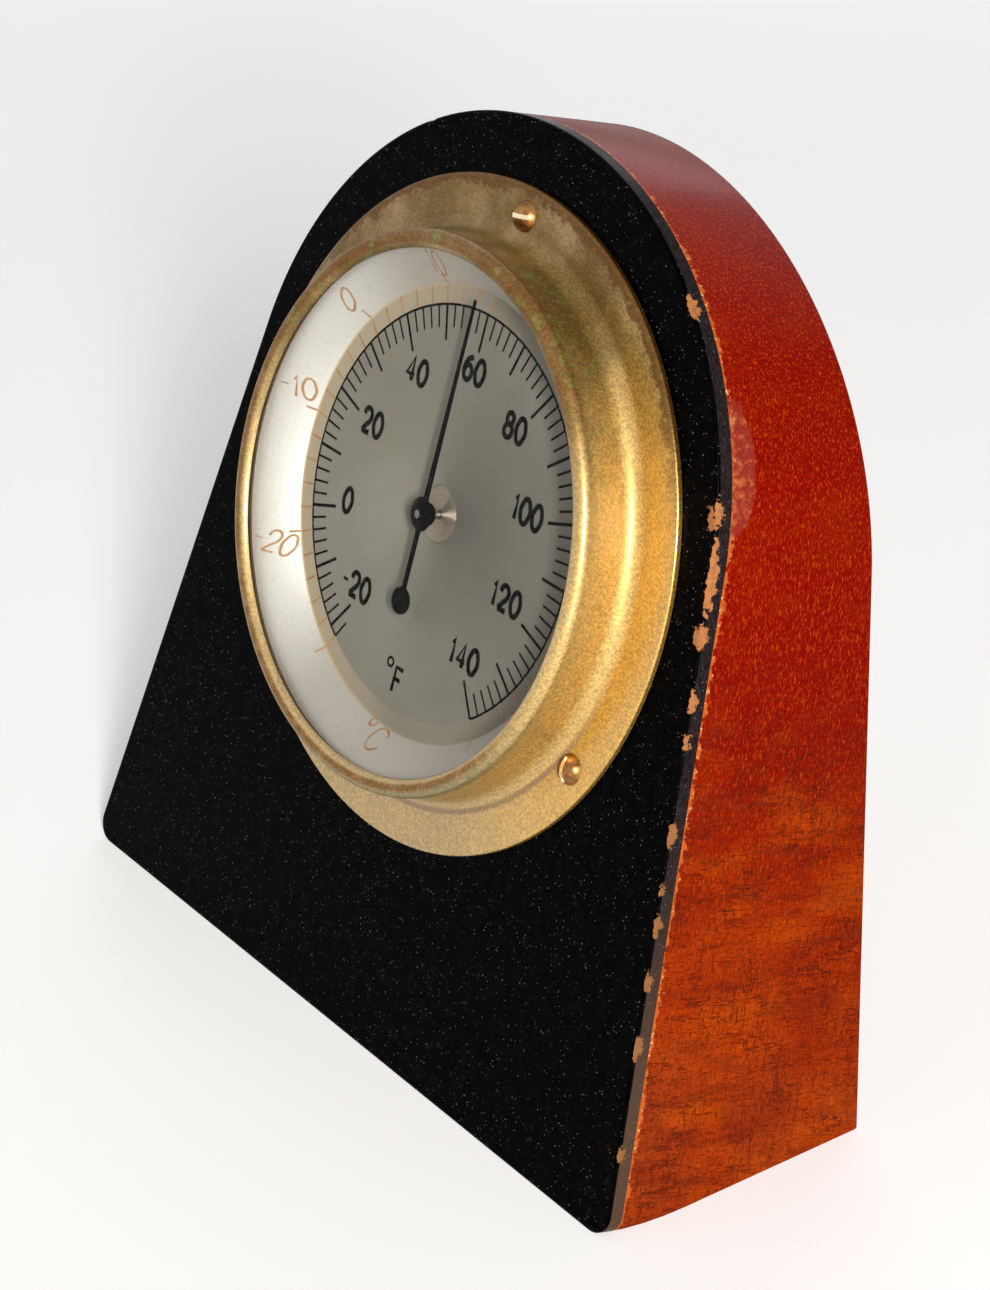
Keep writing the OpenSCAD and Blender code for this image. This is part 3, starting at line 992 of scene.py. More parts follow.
@dataclass
class Maker:
    """Turns a mesh in the making into a piece that rides on its body."""

    finishes: Finishes
    flat_angle: float = 0.4
    edge_angle: float = 40.0

    def piece(self, bm: BMesh, name: str, body: Body, finish: Finish, place: Matrix, sharp: float) -> Object:
        """Places a mesh, shades it and lets it ride.

        Args:
            bm: the mesh, in millimetres of its own place.
            name: the piece's name.
            body: what it moves with.
            finish: its slot.
            place: takes its millimetres to the row.
            sharp: edges sharper than this many degrees stay hard.
        Returns:
            The piece.
        """
        bmesh.ops.recalc_face_normals(bm, faces=bm.faces[:])
        bm.transform(place)
        mesh = bpy.data.meshes.new(name)
        bm.to_mesh(mesh)
        bm.free()
        return self.dress(show(name, mesh), body, finish, sharp)

    def dress(self, obj: Object, body: Body, finish: Finish, sharp: float = 30.0) -> Object:
        """Shades a mesh object, gives it its finish and lets it ride.

        Args:
            obj: the object.
            body: what it moves with.
            finish: its slot.
            sharp: edges sharper than this many degrees stay hard.
        Returns:
            The same object.
        """
        mesh = obj.data
        mesh.shade_smooth()
        mesh.set_sharp_from_angle(angle=math.radians(sharp))
        mesh.materials.clear()
        mesh.materials.append(self.finishes.get(finish))
        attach(obj, body.value)
        log.info("piece %s: %d faces", obj.name, len(mesh.polygons))
        return obj

    def copy(self, frame: dict[str, Any], node: str, body: Body, finish: Finish, edge: float) -> Object:
        """Makes a smooth copy of a CAD node, merged at its seams, to stand in for it.

        Args:
            node: the CAD node.
            body: what it moves with.
            finish: its slot.
            edge: width of a rounding on its hard edges, in millimetres, or 0.
        Returns:
            The piece.
        """
        mesh = frame["nodes"][node].data.copy()
        bm = bmesh.new()
        bm.from_mesh(mesh)
        bmesh.ops.remove_doubles(bm, verts=bm.verts[:], dist=1e-6)
        bmesh.ops.dissolve_limit(bm, angle_limit=math.radians(self.flat_angle), verts=bm.verts[:],
                                 edges=bm.edges[:])
        bmesh.ops.recalc_face_normals(bm, faces=bm.faces[:])
        bm.to_mesh(mesh)
        bm.free()
        if mesh.has_custom_normals:
            mesh.attributes.remove(mesh.attributes["custom_normal"])
        obj = self.dress(show(f"{node}_look", mesh), body, finish)
        if edge:
            bevel = obj.modifiers.new("edge", "BEVEL")
            bevel.width, bevel.segments, bevel.limit_method = edge * MM, 2, "ANGLE"
            bevel.angle_limit, bevel.harden_normals = math.radians(self.edge_angle), True
        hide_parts(node)
        return obj


def edges_of(made: dict[str, Any], key: str = "geom") -> list[BMEdge]:
    """Gives the edges that an operator made."""
    return [part for part in made[key] if isinstance(part, BMEdge)]


def verts_of(made: dict[str, Any], key: str = "geom") -> list[BMVert]:
    """Gives the vertices that an operator made."""
    return [part for part in made[key] if isinstance(part, BMVert)]


def arc(bm: BMesh, start: BMVert, centre: Sequence[float], angle: float, steps: int,
        axis: Sequence[float] = (0, 0, 1)) -> BMVert:
    """Carries a line on from a vertex round a centre by an angle in degrees and gives its new end."""
    made = bmesh.ops.spin(bm, geom=[start], cent=centre, axis=axis, angle=math.radians(angle), steps=steps)
    return verts_of(made, "geom_last")[0]


def cut_at(bm: BMesh, point: Sequence[float], normal: Sequence[float]) -> list[BMEdge]:
    """Cuts away what lies beyond a plane.

    Args:
        bm: the mesh.
        point: a point of the plane.
        normal: the way that its far side lies.
    Returns:
        The open edges of the cut.
    """
    whole = bm.verts[:] + bm.edges[:] + bm.faces[:]
    made = bmesh.ops.bisect_plane(bm, geom=whole, dist=1e-5, plane_co=point, plane_no=normal,
                                  clear_outer=True)
    return [edge for edge in edges_of(made, "geom_cut") if edge.is_valid and edge.is_boundary]


def bore(bm: BMesh, radius: float, level: float) -> list[BMEdge]:
    """Draws the edge of the bore.

    Args:
        bm: the mesh to draw in.
        radius: the bore's radius.
        level: height above the front.
    Returns:
        The edges, round the dial axis.
    """
    drawn = len(bm.edges)
    middle = Matrix.Translation((0, PLACE.dial_height, level))
    bmesh.ops.create_circle(bm, segments=BORE_STEPS, radius=radius, matrix=middle)
    return bm.edges[:][drawn:]


class Section:
    """A half section in the making, in millimetres outwards and up, to be turned round the axis."""

    def __init__(self, out: float, up: float) -> None:
        """Starts at a point."""
        self.bm = bmesh.new()
        self.first = self.last = self.bm.verts.new((out, 0, up))

    def go(self, *points: tuple[float, float]) -> None:
        """Goes straight on through points.

        Args:
            points: each one's place outwards and up.
        """
        for out, up in points:
            here, self.last = self.last, self.bm.verts.new((out, 0, up))
            self.bm.edges.new((here, self.last))

    def bend(self, out: float, up: float, angle: float, steps: int) -> None:
        """Goes on round a centre by an angle in degrees."""
        self.last = arc(self.bm, self.last, (out, 0, up), angle, steps, (0, 1, 0))

    def turn(self, steps: int) -> BMesh:
        """Closes the section and turns it all the way round.

        Args:
            steps: faces round the axis.
        Returns:
            The turned mesh.
        """
        bm = self.bm
        bm.edges.new((self.last, self.first))
        bmesh.ops.spin(bm, geom=bm.verts[:] + bm.edges[:], cent=(0, 0, 0), axis=(0, 0, 1),
                       angle=math.tau, steps=steps, use_merge=True)
        bmesh.ops.remove_doubles(bm, verts=bm.verts[:], dist=1e-4)
        return bm


# The block and its black front


@dataclass(frozen=True)
class Outline:
    """The front outline: an arch on straight sides with rounded lower corners, in millimetres."""

    base_w: float = 125.0
    arch_centre: float = 77.5
    arch_r: float = 50.0
    corner_r: float = 3.0

    def tangent(self) -> Vector:
        """Gives the way from the middle of the arch to where the right side leaves it.

        Returns:
            That way, one long.
        """
        half = self.base_w / 2
        low = math.atan2(self.arch_centre, half)
        turn = math.acos(self.arch_r / math.hypot(half, self.arch_centre)) - low
        return Vector((math.cos(turn), math.sin(turn)))

    def draw(self, bm: BMesh, level: float, spacing: float) -> list[BMEdge]:
        """Draws the closed outline at one height above the front.

        Args:
            bm: the mesh to draw in.
            level: height above the front.
            spacing: longest edge along the line.
        Returns:
            The edges, round the outline.
        """
        half, radius = self.base_w / 2, self.corner_r
        turn = math.atan2(self.tangent().y, self.tangent().x)
        end = self.tangent() * self.arch_r + Vector((0, self.arch_centre))
        slope = math.atan2(end.y, half - end.x)
        corner_x = half - radius / math.tan(slope / 2)
        bend, sweep = math.pi - slope, math.pi - 2 * turn
        corner = math.degrees(bend), max(6, round(radius * bend / spacing))
        arch = math.degrees(sweep), max(90, round(self.arch_r * sweep / spacing))
        start = bm.verts.new((corner_x, 0, level))
        right = arc(bm, start, (corner_x, radius, level), *corner)
        top = bm.verts.new((end.x, end.y, level))
        sides = [bm.edges.new((right, top))]
        left = arc(bm, top, (0, self.arch_centre, level), *arch)
        low = bm.verts.new((-right.co.x, right.co.y, level))
        sides.append(bm.edges.new((left, low)))
        last = arc(bm, low, (-corner_x, radius, level), *corner)
        sides.append(bm.edges.new((last, start)))
        for side in sides:
            cuts = int(side.calc_length() / spacing)
            if cuts > 0:
                bmesh.ops.subdivide_edges(bm, edges=[side], cuts=cuts)
        return bm.edges[:]

    def inset(self, right: float, up: float) -> float:
        """Says how far inside the outline a point of the front lies.

        Args:
            right: its place to the right.
            up: its place up the face.
        Returns:
            The distance in millimetres.
        """
        away = Vector((abs(right), up - self.arch_centre))
        tangent = self.tangent()
        if math.atan2(away.y, away.x) > math.atan2(tangent.y, tangent.x):
            return self.arch_r - away.length
        return self.arch_r - away.dot(tangent)


@dataclass
class WoodenBlock:
    """The wooden body behind the black front layer."""

    maker: Maker
    outline: Outline = Outline()
    panel_t: float = 2.4
    bore_r: float = 36.0
    spacing: float = 3.0
    drawn_back: float = 90.0
    arris: float = 0.7
    back_arris: float = 0.9
    small_arris: float = 0.35
    near_bore: float = 0.3
    bore_edge: float = 4.0
    near_base: float = 0.05
    near_seam: float = 0.1
    hard_angle: float = 40.0
    sharp: float = 16.0

    def build(self) -> None:
        """Draws the outline back, cuts it by the base and the leaning back and eases its edges."""
        bm = bmesh.new()
        outer = self.outline.draw(bm, -self.panel_t, self.spacing)
        inner = bore(bm, self.bore_r, -self.panel_t)
        filled = bmesh.ops.triangle_fill(bm, edges=outer + inner, use_beauty=True)
        faces = [part for part in filled["geom"] if isinstance(part, BMFace)]
        made = bmesh.ops.extrude_face_region(bm, geom=faces, use_keep_orig=True)
        bmesh.ops.translate(bm, verts=verts_of(made), vec=(0, 0, -self.drawn_back))
        bm.transform(PLACE.front())
        base = cut_at(bm, (0, 0, BASE_GAP * MM), (0, 0, -1))
        bmesh.ops.holes_fill(bm, edges=base, sides=0)
        lean = math.radians(PLACE.back_lean)
        back = cut_at(bm, (0, PLACE.base_depth / 2 * MM, 0), (0, math.cos(lean), -math.sin(lean)))
        bmesh.ops.triangle_fill(bm, edges=back, use_beauty=True)
        bmesh.ops.recalc_face_normals(bm, faces=bm.faces[:])
        self._ease(bm)
        bm.transform(PLACE.front().inverted())
        obj = self.maker.piece(bm, "wooden_block", Body.BLOCK, Finish.MAHOGANY, PLACE.front(), self.sharp)
        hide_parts("wooden_body")

    def _ease(self, bm: BMesh) -> None:
        """Rounds the hard edges.

        Args:
            bm: the block in the row.
        """
        by_width: dict[float, list[BMEdge]] = {self.arris: [], self.back_arris: [], self.small_arris: []}
        for edge in bm.edges:
            if len(edge.link_faces) == 2 and edge.calc_face_angle(0) >= math.radians(self.hard_angle):
                by_width[self._width(edge)].append(edge)
        for width, edges in by_width.items():
            hard = [edge for edge in edges if edge.is_valid]
            bmesh.ops.bevel(bm, geom=hard, offset=width * MM, segments=5, profile=0.5, affect="EDGES",
                            material=-1, clamp_overlap=True)

    def _width(self, edge: BMEdge) -> float:
        """Says how far an edge is rounded: the base and the bore less than the front and the back.

        Args:
            edge: a hard edge of the block in the row.
        Returns:
            The width in millimetres.
        """
        middle = (edge.verts[0].co + edge.verts[1].co) / 2
        place = PLACE.front().inverted() @ middle
        from_axis = math.hypot(place.x, place.y - PLACE.dial_height)
        at_bore = abs(from_axis - self.bore_r) < self.near_bore
        if middle.z < self.near_base * MM or at_bore and edge.calc_length() < self.bore_edge * MM:
            return self.small_arris
        return self.arris if place.z > -self.panel_t - self.near_seam else self.back_arris


@dataclass(frozen=True)
class Chip:
    """A place where the lacquer has come off the front edge, in millimetres on the front."""

    right: float
    up: float
    length: float
    width: float
    depth: float = 1.3
    margin: float = 3.0
    fade: float = 1.5

    def gone(self, place: Vector, inset: float) -> float:
        """Says how much of the lacquer is gone at a place.

        Args:
            place: right, up and above the front.
            inset: how far inside the outline it lies.
        Returns:
            0 where it is whole to 1 where it is gone.
        """
        away = math.hypot(place.x - self.right, place.y - self.up)
        if away > self.length + self.margin or place.x * self.right < 0:
            return 0.0
        along = math.sqrt(max(0.0, away ** 2 - inset ** 2)) / self.length * 2
        reach = math.sqrt(along ** 2 + (inset / self.width) ** 2 + (place.z / self.depth) ** 2)
        return min(1.0, max(0.0, self.fade - reach))


@dataclass
class FrontPanel:
    """The black front layer with its chipped edge."""

    maker: Maker
    outline: Outline = Outline()
    thickness: float = 2.4
    bore_r: float = 36.0
    spacing: float = 0.4
    arris: float = 0.4
    rings: tuple[float, ...] = (0.4, 0.45, 0.5, 0.5, 0.5, 0.4)
    drops: tuple[float, ...] = (0.5, 0.5, 0.7, 0.7)
    slack: float = 0.05
    sunk_from: float = 0.4
    sunk: float = 0.3
    slant: float = 0.6
    uneven: float = 0.2
    uneven_per_mm: float = 0.9
    sharp: float = 40.0
    chips: tuple[Chip, ...] = (
        Chip(34.2, 114.2, 3.6, 0.55), Chip(46.6, 91.2, 3.0, 1.4), Chip(48.0, 92.6, 3.4, 0.4),
        Chip(49.8, 84.6, 9.6, 0.45), Chip(50.4, 77.2, 2.8, 1.2), Chip(52.6, 69.4, 3.4, 0.3),
        Chip(53.4, 64.2, 2.8, 0.3), Chip(54.5, 52.5, 3.4, 0.28), Chip(54.9, 45.4, 1.8, 0.26),
        Chip(55.6, 40.9, 2.8, 0.26), Chip(56.7, 33.9, 2.8, 0.24), Chip(59.0, 25.5, 3.6, 0.28),
        Chip(-55.6, 48.4, 1.8, 0.3), Chip(-57.9, 33.6, 1.8, 0.3), Chip(-24.0, 121.6, 1.6, 0.3),
        Chip(60.6, 11.5, 1.8, 0.24),
    )

    def build(self) -> None:
        """Draws fine rings along the front edge, drops the sides and the bore and cuts the base."""
        bm = bmesh.new()
        face = bmesh.ops.contextual_create(bm, geom=self.outline.draw(bm, 0.0, self.spacing))["faces"]
        for width in self.rings:
            bmesh.ops.inset_region(bm, faces=face, thickness=width, use_boundary=True, use_even_offset=True)
        rim = list(face[0].edges)
        bmesh.ops.delete(bm, geom=face, context="FACES_ONLY")
        inner = bore(bm, self.bore_r, 0.0)
        bmesh.ops.triangle_fill(bm, edges=rim + inner, use_beauty=True)
        round_bore = set(inner)
        front = [edge for edge in bm.edges if edge.is_boundary and edge not in round_bore]
        side = front
        for drop in self.drops:
            side = self._drop(bm, side, drop)
        inner = self._drop(bm, inner, self.thickness)
        bmesh.ops.triangle_fill(bm, edges=side + inner, use_beauty=True)
        bmesh.ops.recalc_face_normals(bm, faces=bm.faces[:])
        bmesh.ops.bevel(bm, geom=front, offset=self.arris, segments=3, profile=0.5, affect="EDGES",
                        material=-1)
        bm.transform(PLACE.front())
        bmesh.ops.holes_fill(bm, edges=cut_at(bm, (0, 0, BASE_GAP * MM), (0, 0, -1)), sides=0)
        bm.transform(PLACE.front().inverted())
        self._wear(bm)
        obj = self.maker.piece(bm, "black_front", Body.BLOCK, Finish.LACQUER, PLACE.front(), self.sharp)
        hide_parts("front_panel")

    def _drop(self, bm: BMesh, edges: list[BMEdge], depth: float) -> list[BMEdge]:
        """Draws a wall back from a line.

        Args:
            bm: the mesh.
            edges: the line.
            depth: how far back the wall goes.
        Returns:
            The open edges at the wall's far end.
        """
        made = bmesh.ops.extrude_edge_only(bm, edges=edges)
        bmesh.ops.translate(bm, verts=verts_of(made), vec=(0, 0, -depth))
        return [edge for edge in edges_of(made) if edge.is_boundary]

    def _wear(self, bm: BMesh) -> None:
        """Marks the chips on the vertices along the edge and sinks them a little.

        Args:
            bm: the panel.
        """
        layer = bm.verts.layers.float.new("chip")
        for vert in bm.verts:
            inset = self.outline.inset(vert.co.x, vert.co.y)
            if inset > sum(self.rings) - self.slack:
                continue
            gone = max(chip.gone(vert.co, inset) for chip in self.chips)
            vert[layer] = gone
            if gone > self.sunk_from and vert.co.y > self.outline.corner_r:
                inward = Vector((-math.copysign(1.0, vert.co.x), 0, -self.slant)) * (gone - self.sunk_from)
                vert.co += inward * (self.sunk + self.uneven * noise.noise(vert.co * self.uneven_per_mm))


# The bezel


@dataclass
class Bezel:
    """The turned brass bezel: flange, hollow fillet, wall and rolled rim."""

    maker: Maker
    flange_r: float = 45.0
    flange_t: float = 1.0
    wall_r: float = 37.2
    bore_r: float = 36.2
    fillet_r: float = 2.6
    edge_r: float = 0.4
    low_edge: float = 0.15
    roll_r: float = 1.35
    roll_z: float = 8.19
    glass_top: float = 8.59
    steps: int = 320
    sharp: float = 35.0

    def build(self) -> None:
        """Turns the half section round the dial axis."""
        section = Section(self.bore_r, 0.0)
        section.go((self.flange_r - self.low_edge, 0.0), (self.flange_r, self.low_edge),
                   (self.flange_r, self.flange_t - self.edge_r))
        section.bend(self.flange_r - self.edge_r, self.flange_t - self.edge_r, -90, 6)
        foot = self.wall_r + self.fillet_r
        section.go((foot, self.flange_t))
        section.bend(foot, self.flange_t + self.fillet_r, 90, 16)
        section.go((self.wall_r, self.roll_z))
        lip = 180 - math.degrees(math.asin((self.glass_top - self.roll_z) / self.roll_r))
        section.bend(self.wall_r - self.roll_r, self.roll_z, -lip, 22)
        section.go((self.bore_r, self.glass_top))
        bm = section.turn(self.steps)
        obj = self.maker.piece(bm, "turned_bezel", Body.BLOCK, Finish.BEZEL, PLACE.dial(), self.sharp)
        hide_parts("bezel")


@dataclass
class BezelScrews:
    """The domed screws that hold the bezel, with bare metal in their slots."""

    maker: Maker
    frame: dict[str, Any]
    floor_z: float = 1.75
    edge: float = 0.06
    circle_r: float = 41.1
    first: float = 1.0
    reach: float = 1.2
    level_from: float = 0.99
    slack: float = 0.05

    def build(self) -> None:
        """Copies the screws, eases their edges and marks the faces of the slots."""
        obj = self.maker.copy(self.frame, "bezel_screws", Body.BLOCK, Finish.SCREW, self.edge)
        axis = (PLACE.dial().to_3x3() @ Vector((0, 0, 1))).normalized()
        to_dial = PLACE.dial().inverted()
        turns = [math.radians(self.first + angle) for angle in (0, 120, 240)]
        middles = [Vector((math.sin(turn), math.cos(turn))) * self.circle_r for turn in turns]
        bare = obj.data.attributes.new("bare", "FLOAT", "FACE")
        for face in obj.data.polygons:
            place = to_dial @ face.center
            facing = face.normal.dot(axis)
            floor = facing > self.level_from and abs(place.z - self.floor_z) < self.slack
            near = min((place.xy - middle).length for middle in middles) < self.reach
            wall = abs(facing) < self.slack and place.z > self.floor_z and near
            bare.data[face.index].value = float(floor or wall)


# The dial and its print


class Line(Enum):
    """How a stroke runs through its points."""

    STRAIGHT = "straight"
    CURVE = "curve"
    LOOP = "loop"


class Glyph(Enum):
    """Strokes of the printed figures in a box one wide and one high."""

    ZERO = ((Line.LOOP, ((0, .5), (.5, .2), (.5, -.2), (0, -.5), (-.5, -.2), (-.5, .2))),)
    ONE = ((Line.STRAIGHT, ((-.3, .27), (.14, .48), (.14, -.5))),)
    TWO = (
        (Line.CURVE, ((-.5, .2), (-.4, .4), (0, .5), (.42, .36), (.42, .08), (-.05, -.22), (-.48, -.48))),
        (Line.STRAIGHT, ((-.5, -.5), (.5, -.5))),
    )
    THREE = (
        (Line.CURVE, ((-.46, .3), (0, .5), (.44, .27), (.02, .05))),
        (Line.CURVE, ((.02, .05), (.5, -.22), (0, -.5), (-.5, -.28))),
    )
    FOUR = ((Line.STRAIGHT, ((.2, -.5), (.2, .5), (-.5, -.24), (.5, -.24))),)
    FIVE = (
        (Line.STRAIGHT, ((.42, .5), (-.36, .5), (-.42, .04))),
        (Line.CURVE, ((-.42, .04), (.05, .14), (.5, -.17), (0, -.5), (-.5, -.32))),
    )
    SIX = (
        (Line.CURVE, ((.36, .48), (-.22, .3), (-.5, -.16), (0, -.5), (.5, -.17), (.02, .12), (-.46, -.1))),
    )
    EIGHT = (
        (Line.LOOP, ((0, .5), (.4, .27), (0, .04), (-.4, .27))),
        (Line.LOOP, ((0, .04), (.5, -.23), (0, -.5), (-.5, -.23))),
    )
    LETTER_F = (
        (Line.STRAIGHT, ((-.42, -.5), (-.42, .5), (.48, .5))),
        (Line.STRAIGHT, ((-.42, .04), (.34, .04))),
    )
    LETTER_C = (
        (Line.CURVE, ((.5, .26), (.2, .48), (-.28, .44), (-.5, 0), (-.28, -.44), (.2, -.48), (.5, -.26))),
    )
    DEGREE = ((Line.LOOP, ((0, .5), (.5, 0), (0, -.5), (-.5, 0))),)
    MINUS = ((Line.STRAIGHT, ((-.5, 0), (.5, 0))),)


FIGURES = {"0": Glyph.ZERO, "1": Glyph.ONE, "2": Glyph.TWO, "3": Glyph.THREE, "4": Glyph.FOUR,
           "5": Glyph.FIVE, "6": Glyph.SIX, "8": Glyph.EIGHT, "-": Glyph.MINUS}


@dataclass(frozen=True)
class Figures:
    """The size of a scale's figures in millimetres, with their stroke as a share of the ink's own."""

    wide: float
    high: float
    gap: float
    stroke: float = 1.0
    narrow_one: float = 0.42
    short_minus: float = 0.6
    thin_minus: float = 0.6

    def width(self, mark: str) -> float:
        """Gives the width of a figure or a minus."""
        return self.wide * {"1": self.narrow_one, "-": self.short_minus}.get(mark, 1.0)


@dataclass
class Print:
    """Ink laid on the dial: strokes drawn as flat ribbons, one mesh for each ink."""

    name: str
    stroke: float
    flat: float
    kink_r: float
    lift: float = 0.012
    flatness: float = 0.08
    sharp: float = 60.0
    curve: Any = None

    def __post_init__(self) -> None:
        """Starts the ribbon curve."""
        self.curve = bpy.data.curves.new(self.name, "CURVE")
        self.curve.dimensions = "3D"
        self.curve.bevel_depth, self.curve.bevel_resolution = self.stroke / 2, 2
        self.curve.use_fill_caps = True
        self.curve.resolution_u = 10

    def line(self, points: Iterable[Sequence[float]], kind: Line = Line.STRAIGHT,
             width: float = 1.0) -> None:
        """Draws one stroke.

        Args:
            points: where it goes, right and up from the middle of the dial.
            kind: how it runs through them.
            width: share of the ink's own stroke.
        """
        places = list(points)
        spline = self.curve.splines.new("BEZIER")
        spline.bezier_points.add(len(places) - 1)
        handle = "VECTOR" if kind is Line.STRAIGHT else "AUTO"
        for point, place in zip(spline.bezier_points, places):
            point.co = (place[0], place[1], 0)
            point.handle_left_type = point.handle_right_type = handle
            point.radius = width
        spline.use_cyclic_u = kind is Line.LOOP

    def glyph(self, glyph: Glyph, right: float, up: float, wide: float, high: float,
              width: float = 1.0) -> None:
        """Draws one figure round a middle at a width and a height."""
        for kind, points in glyph.value:
            self.line([(right + x * wide, up + y * high) for x, y in points], kind, width)

    def number(self, value: int, right: float, up: float, size: Figures) -> None:
        """Draws a number.

        Args:
            value: the number.
            right: the place of its middle to the right.
            up: the same up the dial.
            size: the size of its figures.
        """
        text = str(value)
        left = right - (sum(map(size.width, text)) + size.gap * (len(text) - 1)) / 2
        for mark in text:
            wide = size.width(mark)
            stroke = size.stroke * (size.thin_minus if mark == "-" else 1.0)
            self.glyph(FIGURES[mark], left + wide / 2, up, wide, size.high, stroke)
            left += wide + size.gap

    def tick(self, angle: float, near: float, far: float, width: float = 1.0) -> None:
        """Draws a tick outwards, bending where the border rises.

        Args:
            angle: its clock angle in degrees.
            near: the radius at which it starts.
            far: the radius at which it ends.
            width: share of the ink's own stroke.
        """
        turn = math.radians(angle)
        stops = [near] + ([self.kink_r] if near < self.kink_r < far else []) + [far]
        self.line([(r * math.sin(turn), r * math.cos(turn)) for r in stops], width=width)

    def build(self, maker: Maker, finish: Finish) -> None:
        """Turns the strokes into a thin mesh on the dial and lets it ride.

        Args:
            maker: what makes pieces.
            finish: the ink.
        """
        drawn = show(self.name, self.curve)
        bpy.context.view_layer.update()
        mesh = bpy.data.meshes.new_from_object(drawn.evaluated_get(bpy.context.evaluated_depsgraph_get()))
        bpy.data.objects.remove(drawn)
        bm = bmesh.new()
        bm.from_mesh(mesh)
        bpy.data.meshes.remove(mesh)
        bmesh.ops.remove_doubles(bm, verts=bm.verts[:], dist=1e-5)
        for vert in bm.verts:
            rise = max(0.0, math.hypot(vert.co.x, vert.co.y) - self.kink_r)
            vert.co.z = self.flat + self.lift + vert.co.z * self.flatness + rise
        maker.piece(bm, self.name, Body.BLOCK, finish, PLACE.dial(), self.sharp)


@dataclass
class Dial:
    """The dished dial plate with its two scales."""

    maker: Maker
    flat: float = 2.4
    thickness: float = 0.5
    bush_r: float = 3.8
    kink_r: float = 30.3
    soft_r: float = 0.5
    border_in: float = 35.19
    border_out: float = 35.9
    scale_turn: float = -1.5
    scale_middle: float = 59.0
    per_degree: float = 291.5 / 162
    arc_r: float = 27.6
    arc_steps: int = 120
    twenty_tick: float = 5.2
    ten_tick: float = 4.7
    two_tick: float = 3.0
    celsius_far: float = 31.5
    freezing_near: float = 24.0
    fahrenheit_stroke: float = 0.42
    celsius_stroke: float = 0.3
    arc_width: float = 0.8
    ten_width: float = 1.05
    two_width: float = 0.76
    steps: int = 288
    sharp: float = 50.0
    fahrenheit_figures: Figures = Figures(1.64, 3.25, 0.84, 1.8)
    fahrenheit_spots: tuple[tuple[int, float, float], ...] = (
        (-20, -13.1, -15.1), (0, -19.1, -5.1), (20, -17.8, 6.5), (40, -11.2, 16.1), (60, 0.1, 20.0),
        (80, 10.7, 15.8), (100, 17.1, 6.6), (120, 17.2, -5.2), (140, 12.0, -15.3),
    )
    fahrenheit_unit: tuple[tuple[Glyph, float, float, float, float, float], ...] = (
        (Glyph.LETTER_F, 0.0, -23.7, 1.7, 3.4, 1.5), (Glyph.DEGREE, -2.2, -21.8, 1.2, 1.2, 0.9),
    )
    celsius_figures: Figures = Figures(1.25, 3.0, 0.5)
    celsius_spots: tuple[tuple[int, float, float], ...] = (
        (-20, -29.3, -15.0), (-10, -32.2, 6.6), (0, -25.5, 21.2), (10, -9.6, 31.5), (20, 8.6, 31.9),
        (30, 24.3, 22.4), (40, 32.0, 6.0), (50, 30.2, -12.4),
    )
    celsius_unit: tuple[tuple[Glyph, float, float, float, float, float], ...] = (
        (Glyph.LETTER_C, 0.7, -31.8, 2.7, 2.6, 1.0), (Glyph.DEGREE, -2.2, -30.5, 1.2, 1.0, 1.0),
    )

    def build(self) -> None:
        """Builds the plate and both scales."""
        self._plate()
        self._fahrenheit()
        self._celsius()

    def clock(self, fahrenheit: float) -> float:
        """Gives the clock angle of a temperature, in degrees."""
        return self.scale_turn + (fahrenheit - self.scale_middle) * self.per_degree

    def _plate(self) -> None:
        """Turns the section of the plate, with a soft bend where the border rises."""
        top = self.flat + self.border_in - self.kink_r
        low = self.flat - self.thickness
        bend = self.soft_r * math.tan(math.radians(22.5))
        aslant = bend * math.sqrt(0.5)
        section = Section(self.border_out, top)
        section.go((self.border_in, top), (self.kink_r + aslant, self.flat + aslant))
        section.bend(self.kink_r - bend, self.flat + self.soft_r, 45, 5)
        section.go((self.bush_r + 0.04, self.flat), (self.bush_r, self.flat - 0.04), (self.bush_r, low),
                   (self.kink_r + 0.2, low))
        bm = section.turn(self.steps)
        obj = self.maker.piece(bm, "dial_plate", Body.BLOCK, Finish.DIAL, PLACE.dial(), self.sharp)
        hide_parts("dial")

    def _fahrenheit(self) -> None:
        """Prints the main scale in black: ring, ticks, figures and its unit."""
        ink = Print("fahrenheit_scale", self.fahrenheit_stroke, self.flat, self.kink_r)
        first, last = [math.radians(self.clock(end)) for end in (-22, 140)]
        turns = [first + (last - first) * step / self.arc_steps for step in range(self.arc_steps + 1)]
        arc_line = [(self.arc_r * math.sin(turn), self.arc_r * math.cos(turn)) for turn in turns]
        ink.line(arc_line, Line.CURVE, self.arc_width)
        for mark in range(-22, 141, 2):
            by_ten = self.twenty_tick if mark % 20 == 0 else self.ten_tick
            length, width = (by_ten, self.ten_width) if mark % 10 == 0 else (self.two_tick, self.two_width)
            ink.tick(self.clock(mark), self.arc_r - length, self.arc_r, width)
        for value, right, up in self.fahrenheit_spots:
            ink.number(value, right, up, self.fahrenheit_figures)
        for unit in self.fahrenheit_unit:
            ink.glyph(*unit)
        ink.build(self.maker, Finish.ENAMEL)

    def _celsius(self) -> None:
        """Prints the faint second scale: ticks across the kink, figures on the border and its unit."""
        ink = Print("celsius_scale", self.celsius_stroke, self.flat, self.kink_r)
        for mark in range(-30, 61, 2):
            far = self.celsius_far if mark % 10 == 0 else self.kink_r
            ink.tick(self.clock(mark * 1.8 + 32), self.arc_r, far)
        ink.tick(self.clock(32), self.freezing_near, self.arc_r)
        for value, right, up in self.celsius_spots:
            ink.number(value, right, up, self.celsius_figures)
        for unit in self.celsius_unit:
            ink.glyph(*unit)
        ink.build(self.maker, Finish.INK)


# The hub and the pieces that keep their shape


